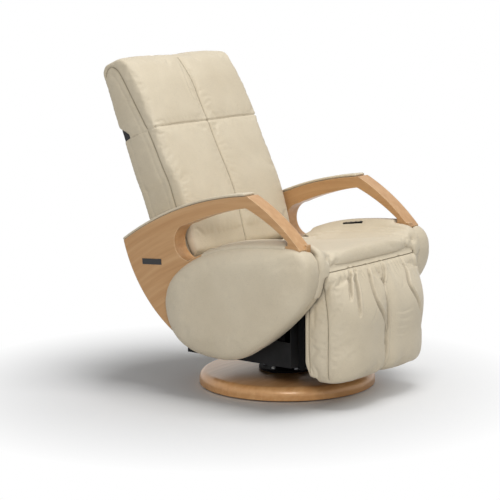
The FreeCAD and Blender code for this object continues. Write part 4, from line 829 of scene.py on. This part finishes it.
def seat_ramp(side):
    """The seat's padding, which rises to the roll like a saddle."""
    turn = SIDES[side]
    tree = surface(NODES["seat_cushion"])
    rings = []
    for y, crest in bolster_crest(side):
        y = max(y, RAMP_FRONT)
        tops = crossings(tree, (turn * SEAT_SIDE, y, 700), (0, 0, -1))
        low = tops[0][2] - 2 if tops else min(crest - 12, 450)
        rings.append([
            (turn * SEAT_SIDE, y, low),
            (turn * 215, y, low + 0.35 * (crest - 9 - low)),
            (turn * ROLL_SIDE, y, crest - 8),
            (turn * ROLL_SIDE, y, RAMP_FOOT),
            (turn * SEAT_SIDE, y, RAMP_FOOT),
        ])
    return loft(rings)


def window_sill(side):
    """Leather over the arm loop's lower rail, so that it meets the pod without bare wood."""
    turn = SIDES[side]
    tree = surface(NODES[f"side_frame_{side}"])
    rings = []
    for y in np.linspace(-250, 92, 24):
        levels = crossings(tree, (turn * 305, y, 900), (0, 0, -1))
        if len(levels) < 3:
            continue
        top = levels[2][2]
        rings.append([
            (turn * 262, y, top + 11),
            (turn * 298, y, top + 9),
            (turn * 324, y, top + 6),
            (turn * 341, y, top - 3),
            (turn * 339, y, top - 34),
            (turn * 262, y, top - 34),
        ])
    return loft(rings)


def hinge_cap(side):
    """Padding at the seat's front corners, over the leg rest's hinge."""
    turn = SIDES[side]
    outline = [(-352, 430), (-354, 452), (-350, 474), (-300, 480), (-300, 428)]
    return prism(CHAIR, outline, turn * 237, turn * 264)


def front_filler(side):
    """What closes the seat's front between the roll and the pod."""
    turn = SIDES[side]
    pod_points = spots(NODES[f"side_pod_{side}"])
    levels = np.linspace(360, 490, 12)
    front = [(pod_points[np.abs(pod_points[:, 2] - z) < 12, 1].min() + 1, z) for z in levels]
    return prism(CHAIR, [*front, (-270, 490), (-270, 360)], turn * 250, turn * 284)


def seat_cushion():
    """Seat, rolls and sills in one skin, so that the leather runs on from one to the next."""
    makers = (seat_ramp, window_sill, hinge_cap, front_filler)
    blocks = [make(side) for side in SIDES for make in makers]
    return skin("seat_cushion_cover", SEAT_NODES, blocks, voxel=5, softened=12)


# Leg rest

LEG_NODES = ("leg_rest_pad", "leg_rest_board")
LEG_WRAP = [(40, -118), (66, -118), (77, -118), (79.5, -130), (79.5, -344), (70, -352), (40, -350)]
LEG_SIDE = 243
LOBE_MIDDLE = 118
LOBE_RISE = 7
HEEL_CUT = 16
NECK_SIDE = 249
NECK_START = (0, -8, 4)
NECK_END = (0, -20, -18)
LEG_EDGES = mirrored_stops([
    ("right", [(4, -30), (2, -70), (-8, -130), (-12, -190), (-11, -270), (-10, -350)]),
    ("right", [(62, -130), (64, -240), (58, -335)]),
])
LEG_FOLDS = [
    ("front", [(-16, -262), (-28, -205), (-56, -160), (-82, -112), (-74, -60), (-44, -6)]),
    ("front", [(-12, -335), (-11, -250), (-10, -205), (-12, -155), (-16, -92), (10, -50), (34, -6)]),
    ("front", [(158, -178), (140, -139), (116, -90), (138, -44), (150, -6)]),
    ("front", [(-176, -143), (-170, -100), (-142, -40), (-108, -6)]),
    ("front", [(-196, -92), (-176, -50), (-133, -4)]),
]
LEG_VALLEY = [("front", [(-30, -120), (-24, -220), (-22, -345)])]
ROLL_SEAM = [("front", [(-241, -6), (-120, -6), (0, -6), (120, -6), (241, -6)])]
LEG_DIMPLES = [
    ("front", [(-84, -126), (-104, -152), (-130, -180)]),
    ("front", [(96, -62), (84, -84), (66, -96)]),
    ("front", [(10, -158), (60, -166), (112, -160)]),
    ("front", [(14, -182), (66, -190), (118, -186)]),
    ("front", [(16, -206), (64, -214), (104, -210)]),
    ("front", [(18, -232), (58, -240), (96, -234)]),
    ("front", [(-60, -330), (-58, -350)]),
    ("front", [(60, -326), (62, -348)]),
]


def leg_neck():
    """The leather's way up from the leg rest to the seat's edge."""
    tree = surface(NODES["leg_rest_pad"])
    rings = []
    for x in np.linspace(-NECK_SIDE, NECK_SIDE, 30):
        start = LEG.world((np.clip(x, -225, 225), -400, -36))
        front = LEG.local(crossings(tree, start, (0, 1, 0))[0])[1] + 12 * ease(abs(x), 222, NECK_SIDE)
        outline = [(10, 18), (-3, 18), (-6, 8), (-8, 1), (0.52 * front, -7), (0.86 * front, -18)]
        outline += [(front + 0.5, -34), (0, -58), (14, -58), (16, 0)]
        rings.append([LEG.world((x, n, u)) for n, u in outline])
    return loft(rings)


def leg_cushion():
    """The cushion, with its leather drawn round the board behind it and up to the seat."""
    blocks = [prism(LEG, LEG_WRAP, -LEG_SIDE, LEG_SIDE), leg_neck()]
    return skin("leg_rest_cushion", LEG_NODES, blocks, voxel=5, softened=4)


def leg_lobes(piece):
    """The two halves bulge towards the shins, most in their lower part."""
    def heights(where):
        x, n, u = LEG.local(where).T
        lobe = np.exp(-((np.abs(x + 8) - LOBE_MIDDLE) / 70) ** 2)
        return LOBE_RISE * lobe * ease(-u, 30, 170) * (1 - ease(-u, 270, 345)) * ease(-n, 10, 45)
    swell(piece, heights)


def leg_heel(piece):
    """The lower rear edge is cut back, as leather drawn over a rounded board."""
    where = LEG.local(spots(piece))
    x, n, u = where.T
    where[:, 1] -= HEEL_CUT * ease(-u, 300, 350) * ease(n, 20, 75)
    put(piece, LEG.world(where))


def pleats(x, depth):
    """Short uneven pleats under the seam, where loose leather is sewn to a shorter edge."""
    drift = x + 0.10 * depth * np.sin(x / 61)
    long_pleats = np.sin(drift / 6.1 + 1.3 * np.sin(drift / 29))
    short_pleats = np.sin(drift / 2.9 + 1.1 * np.sin(drift / 17) + 0.7)
    uneven = 0.55 + 0.45 * np.sin(drift / 43 + 2)
    rows = 2.6 * uneven * long_pleats * np.exp(-(depth / 66) ** 2)
    rows += 1.5 * (1.15 - 0.6 * uneven) * short_pleats * np.exp(-(depth / 34) ** 2)
    return rows * ease(depth, 0, 9) * (1 - ease(np.abs(x), 226, 242))


def gathers(piece):
    """Pleats all along under the seat's seam."""
    def heights(where):
        x, n, u = LEG.local(where).T
        return pleats(x, np.clip(-u - 6, 0, None)) * ease(-n, -4, 6)
    swell(piece, heights)


# Side pods and arm pads

POD_RISE = 3.6


def pod(side):
    """The side cushion, a little fuller than its solid away from the frame."""
    piece = skin(f"pod_cushion_{side}", [f"side_pod_{side}"], [], voxel=7, softened=12)
    swell(piece, lambda where: POD_RISE * ease(np.abs(where[:, 0]), 284, 318))
    return piece


def arm_pad(side):
    return skin(f"arm_cushion_{side}", [f"armrest_pad_{side}"], [], voxel=3, softened=1)


# Threads: a dark cord at the bottom of each seam, thread and painted shade in one, and rows of stitches beside it

def stretches(line, step=9):
    """The parts of a line that run on without a jump."""
    gaps = np.linalg.norm(np.diff(line.places, axis=0), axis=1)
    cuts = [0, *(np.flatnonzero(gaps > step) + 1), len(line.places)]
    return [slice(a, b) for a, b in zip(cuts, cuts[1:]) if b - a > 3]


def tubes(name, paths, sides=6):
    """One mesh of closed round strands. Each path has its points, its facing and its radii."""
    corners, faces = [], []
    for places, facing, radii in paths:
        along = np.gradient(places, axis=0)
        across = unit(np.cross(along, facing))
        upright = unit(np.cross(across, along))
        first = len(corners)
        for place, side, up, radius in zip(places, across, upright, radii):
            for turn in range(sides):
                angle = 2 * math.pi * turn / sides
                corners.append((place + radius * (math.cos(angle) * side + math.sin(angle) * up)) / 1000)
        for ring in range(len(places) - 1):
            low = first + ring * sides
            for turn in range(sides):
                after = (turn + 1) % sides
                faces.append((low + turn, low + after, low + sides + after, low + sides + turn))
        faces.append(tuple(reversed(range(first, first + sides))))
        faces.append(tuple(range(len(corners) - sides, len(corners))))
    mesh = bpy.data.meshes.new(name)
    mesh.from_pydata([tuple(corner) for corner in corners], [], faces)
    mesh.update()
    mesh.polygons.foreach_set("use_smooth", [True] * len(mesh.polygons))
    return new_piece(name, mesh)


def seam_thread_and_shade(name, lines, radius=0.9, sunk=0.2):
    """The dark cord at the bottom of the seams: thread, and painted shade for the seam's groove."""
    paths = []
    for line in lines:
        for part in stretches(line):
            places = line.places[part] - sunk * line.facing[part]
            paths.append((places, line.facing[part], np.full(len(places), radius)))
    return tubes(name, paths)


def stitch_rows(name, piece, lines, offsets=(-4.2, 4.2), pitch=5.2, length=3.6, radius=0.45):
    """Rows of single stitches beside the seams, each with its ends drawn into the leather."""
    tree = surface(piece)
    paths = []
    for line in lines:
        for part in stretches(line):
            for offset in offsets:
                beside = line.places[part] + offset * line.across[part]
                found = [tree.find_nearest(Vector(place / 1000)) for place in beside]
                row = np.array([hit[0] for hit in found]) * 1000
                facing = np.array([hit[1] for hit in found])
                gone = travelled(row)
                for start in np.arange(pitch, gone[-1] - pitch, pitch):
                    at = start + length * np.array((0, 0.25, 0.75, 1))
                    places = at_distances(at, gone, row)
                    lifted = at_distances(at, gone, facing)
                    places += lifted * np.array((-0.4, 0.25, 0.25, -0.4))[:, None]
                    paths.append((places, lifted, radius * np.array((0.5, 1, 1, 0.5))))
    return tubes(name, paths, 5)


# What the lines draw in, in this order: their stops, depth, width, ridge beside them and fading at the ends

BACK_PRESSES = [
    (BACK_MIDDLE, 4.0, 4.5, 0, 0),
    (BACK_EDGES, 2.8, 3.5, 0, 0),
    (HEAD_MIDDLE, 3.0, 4.5, 0, 0),
    (HEAD_EDGES, 2.8, 3.5, 0, 0),
    (SHOULDER_SEAM, 4.5, 4.5, 0, 0),
    (SHOULDER_SIDES, 2.0, 5, 0, 0),
    (BACK_BANDS + HEAD_BANDS, 1.2, 4, 0, 0),
    (HEAD_FOLDS, 3.2, 7, 2.6, 0.7),
    (HEAD_CREASES, 1.2, 6, 0.6, 1.0),
]
SEAT_PRESSES = [(SEAT_EDGES, 1.6, 4, 0, 0.5)]
LEG_SEAM_PRESSES = [(LEG_EDGES, 2.6, 3.5, 0, 0)]
LEG_FOLD_PRESSES = [
    (LEG_VALLEY, 14, 17, 0, 0.5),
    (LEG_FOLDS, 12, 5.0, 5.0, 0.4),
    (LEG_DIMPLES, 1.3, 5, 0.8, 1.0),
]
ROLL_PRESSES = [(ROLL_SEAM, 2.6, 3.2, 0, 0)]
SEAM_HOLD = 9


def press_rows(piece, axes, rows):
    for stops, depth, width, ridge, taper in rows:
        press(piece, lay(piece, axes, stops), depth, width, ridge, taper)


def upholster():
    """Every padded piece: its skin, its air, its seams and folds."""
    back, seat, leg = whole_back(), seat_cushion(), leg_cushion()
    sides = {side: (pod(side), arm_pad(side)) for side in SIDES}
    airs = []

    def air(piece, axes, lines, resting, pressure, slack, furthest):
        held = nearness(piece, lay(piece, axes, lines), SEAM_HOLD)
        x, n, u = axes.local(spots(piece)).T
        held = np.maximum(held, resting(x, n, u).astype(float))
        airs.append((piece, held, pressure, slack, furthest))

    def back_rests(x, n, u):
        return (u < 135) | ((np.abs(x) > 255) & (u < 330)) | ((n > 84) & (u < 575))

    def seat_rests(x, n, u):
        return (u < 420) | (np.abs(x) > 230) | (n > 150)

    air(back, BACK, BACK_SEAMS + SHOULDER_SEAM, back_rests, pressure=4, slack=0.014, furthest=7)
    air(seat, CHAIR, [], seat_rests, pressure=4, slack=0.02, furthest=7)
    air(leg, LEG, LEG_EDGES, lambda x, n, u: (u > -24) | (n > 60), pressure=4, slack=0.02, furthest=8)
    for pod_piece, _ in sides.values():
        air(pod_piece, CHAIR, [], lambda x, n, u: np.abs(x) < 336, pressure=3, slack=0.0, furthest=3)
    inflate(airs)

    for piece in (back, seat, leg, *(piece for pair in sides.values() for piece in pair)):
        refine(piece)
    press_rows(back, BACK, BACK_PRESSES)
    press_rows(seat, CHAIR, SEAT_PRESSES)
    press_rows(leg, LEG, LEG_SEAM_PRESSES)
    leg_lobes(leg)
    press_rows(leg, LEG, LEG_FOLD_PRESSES)
    leg_heel(leg)
    gathers(leg)
    press_rows(leg, LEG, ROLL_PRESSES)
    trims = [
        ("back", seam_thread_and_shade("back_seams", lay(back, BACK, BACK_SEAMS))),
        ("back", stitch_rows("back_stitches", back, lay(back, BACK, BACK_MIDDLE + HEAD_MIDDLE[:2]))),
        ("back", stitch_rows("back_edge_stitches", back, lay(back, BACK, BACK_EDGES + HEAD_EDGES))),
        ("leg_rest", seam_thread_and_shade("leg_rest_seams", lay(leg, LEG, LEG_EDGES))),
        ("leg_rest", stitch_rows("leg_rest_stitches", leg, lay(leg, LEG, LEG_EDGES), (4.2,))),
    ]
    head = split(back, "head_cushion", BACK, SHOULDER + 1, MECHANISM_PASSAGE)

    lining = back_lining()
    refine(lining)
    # Painted shade: a dark cord along the line where the seat's roll meets the leg rest's leather.
    roll_seam = seam_thread_and_shade("seat_roll_seam", lay(leg, LEG, ROLL_SEAM), radius=1.1, sunk=0)
    return dict(back=back, head=head, seat=seat, leg=leg, sides=sides, lining=lining,
                roll_seam=roll_seam, trims=trims)


def bend_at_neck(piece):
    """The neck's two ends are worked out and left unused, and the piece's place is baked into its mesh."""
    LEG.world(NECK_START) / 1000
    LEG.world(NECK_END) / 1000
    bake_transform(piece)


def finish_soft(soft):
    """Each soft piece's leather, the body it rides, the solids it stands for and how full it is."""
    stands_for = [
        (soft["back"], "back", ("back_pad", "back_shell"), 0.75),
        (soft["head"], "back", ("head_pad",), 0.6),
        (soft["seat"], "seat", SEAT_NODES, 0.85),
        (soft["leg"], None, LEG_NODES, 0.5),
    ]
    for side, (pod_piece, arm_piece) in soft["sides"].items():
        stands_for.append((pod_piece, "seat", (f"side_pod_{side}",), 0.9))
        stands_for.append((arm_piece, "seat", (f"armrest_pad_{side}",), 0.9))
    for piece, body, nodes, fill in stands_for:
        piece.data.materials.append(CREAM)
        if body:
            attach(piece, body)
        else:
            bend_at_neck(piece)
        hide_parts(*nodes)
    soft["roll_seam"].data.materials.append(SEAM_THREAD_AND_SHADE)
    bend_at_neck(soft["roll_seam"])
    soft["lining"].data.materials.append(NOTCH_LINING_AND_SHADE)
    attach(soft["lining"], "back")
    for body, trim in soft["trims"]:
        trim.data.materials.append(STITCH if "stitches" in trim.name else SEAM_THREAD_AND_SHADE)
        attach(trim, body)


# Stage, lights and camera

CAMERA_AZIMUTH = -51.67
CAMERA_ELEVATION = 9.42
CAMERA_ROLL = 0.489
CAMERA_LENS = 136.43
CAMERA_PLACE = Vector((-4.9595, -3.7658, 1.4824))
LAMP_TARGET = Vector((0, 0, 0.5))
WORLD_LEVEL = 0.32
FLOOR_REACH = 12.0
FLOOR_FADE = (0.42, 1.05)
SHADOW_MIDDLE = (-0.15, 0.12, 0)


def plain_sight(tree):
    """1 for rays from the camera, a mirror or glass, which see plain white, and 0 for all others."""
    paths = tree.nodes.new("ShaderNodeLightPath")
    seen = paths.outputs["Is Camera Ray"]
    for ray in ("Is Glossy Ray", "Is Transmission Ray"):
        either = tree.nodes.new("ShaderNodeMath")
        either.operation = "MAXIMUM"
        tree.links.new(seen, either.inputs[0])
        tree.links.new(paths.outputs[ray], either.inputs[1])
        seen = either.outputs[0]
    return seen


def studio_floor():
    """A pale floor that keeps the chair's shadow, and fades into the white backdrop away from the chair."""
    mesh = bpy.data.meshes.new("studio_floor")
    corners = [(x * FLOOR_REACH, y * FLOOR_REACH, 0) for x, y in ((-1, -1), (1, -1), (1, 1), (-1, 1))]
    mesh.from_pydata(corners, [], [(0, 1, 2, 3)])
    floor = new_piece("studio_floor", mesh)
    shader = Shader("studio_floor")
    mottle = shader.noise(3, 2)
    colour = shader.blend(mottle, srgb(246, 246, 246), srgb(250, 250, 250))
    shader.set(colour=colour, roughness=0.9, specular=0.1)
    seen = plain_sight(shader.tree)
    offset = shader.node("ShaderNodeVectorMath", {0: shader.place, 1: SHADOW_MIDDLE}, operation="SUBTRACT")
    far = shader.node("ShaderNodeVectorMath", {0: offset.outputs["Vector"]}, operation="LENGTH")
    white = shader.node("ShaderNodeEmission", {"Strength": 1.0})
    faded = shader.math("MULTIPLY", seen, shader.between(far.outputs["Value"], 0.0, 1.0, *FLOOR_FADE))
    mixed = shader.node("ShaderNodeMixShader")
    for socket, value in zip(mixed.inputs, (faded, shader.surface.outputs[0], white.outputs[0])):
        shader.feed(socket, value)
    output = next(n for n in shader.tree.nodes if n.type == "OUTPUT_MATERIAL")
    shader.feed(output.inputs["Surface"], mixed.outputs[0])
    mesh.materials.append(shader.material)
    return floor


def studio_world():
    """Even pale light from all round; plain white where the camera or a mirror looks past the floor."""
    world = bpy.data.worlds.new("studio")
    bpy.context.scene.world = world
    world.use_nodes = True
    tree = world.node_tree
    shown = tree.nodes["Background"]
    shown.inputs["Color"].default_value = (1, 1, 1, 1)
    shown.inputs["Strength"].default_value = 1.0
    glow = tree.nodes.new("ShaderNodeBackground")
    glow.inputs["Color"].default_value = (0.96, 0.98, 1.0, 1)
    glow.inputs["Strength"].default_value = WORLD_LEVEL
    mix = tree.nodes.new("ShaderNodeMixShader")
    for socket, value in zip(mix.inputs, (plain_sight(tree), glow.outputs[0], shown.outputs[0])):
        tree.links.new(value, socket)
    tree.links.new(mix.outputs[0], tree.nodes["World Output"].inputs["Surface"])


def softbox(name, place, size, power):
    light = bpy.data.lights.new(name, "AREA")
    light.shape = "RECTANGLE"
    light.size, light.size_y = size
    light.energy = power
    lamp = new_piece(name, light)
    lamp.location = place
    lamp.rotation_euler = (LAMP_TARGET - Vector(place)).to_track_quat("-Z", "Y").to_euler()
    return lamp


def spare(lamp, piece):
    """Keeps a fill lamp off the floor, so that it doesn't wash out the chair's shadow."""
    apart = bpy.data.collections.new("kept_from_the_fill")
    apart.objects.link(piece)
    for member in apart.collection_objects:
        member.light_linking.link_state = "EXCLUDE"
    lamp.light_linking.receiver_collection = apart


def photo_camera():
    """The photograph's camera, found from the base's ellipse and the mirrored pairs of the chair."""
    azimuth, elevation, roll = map(math.radians, (CAMERA_AZIMUTH, CAMERA_ELEVATION, CAMERA_ROLL))
    away = math.cos(elevation)
    back = Vector((math.sin(azimuth) * away, -math.cos(azimuth) * away, math.sin(elevation)))
    level = Vector((math.cos(azimuth), math.sin(azimuth), 0))
    upright = back.cross(level)
    right = level * math.cos(roll) - upright * math.sin(roll)
    up = level * math.sin(roll) + upright * math.cos(roll)
    data = bpy.data.cameras.new("photo_camera")
    data.lens = CAMERA_LENS
    data.sensor_width = 36
    camera = new_piece("photo_camera", data)
    camera.matrix_world = Matrix.Translation(CAMERA_PLACE) @ Matrix((right, up, back)).transposed().to_4x4()
    bpy.context.scene.camera = camera


CREAM = leather("cream_leather", srgb(222, 209, 184), srgb(212, 198, 172))
# Black cloth for the back's notch, also painted shade for the notch.
NOTCH_LINING_AND_SHADE = rubber("black_lining_and_painted_shade")
# The seam cord's colours: thread, darkened as painted shade for the seam's groove.
SEAM_THREAD_AND_SHADE = thread("seam_thread_and_shade", srgb(126, 112, 88), srgb(92, 80, 60))
STITCH = thread("stitching", srgb(206, 192, 164), srgb(166, 150, 120))


def build():
    photo_camera()
    studio_world()
    floor = studio_floor()
    softbox("overhead", place=(0.3, -0.7, 4.6), size=(1.9, 1.8), power=100)
    fill = softbox("camera_left", place=(-3.0, -2.5, 2.6), size=(1.5, 1.5), power=66)
    spare(fill, floor)
    finish_nodes()
    finish_soft(upholster())


build()

bpy.context.scene.view_settings.view_transform = "Standard"
bpy.context.view_layer.update()
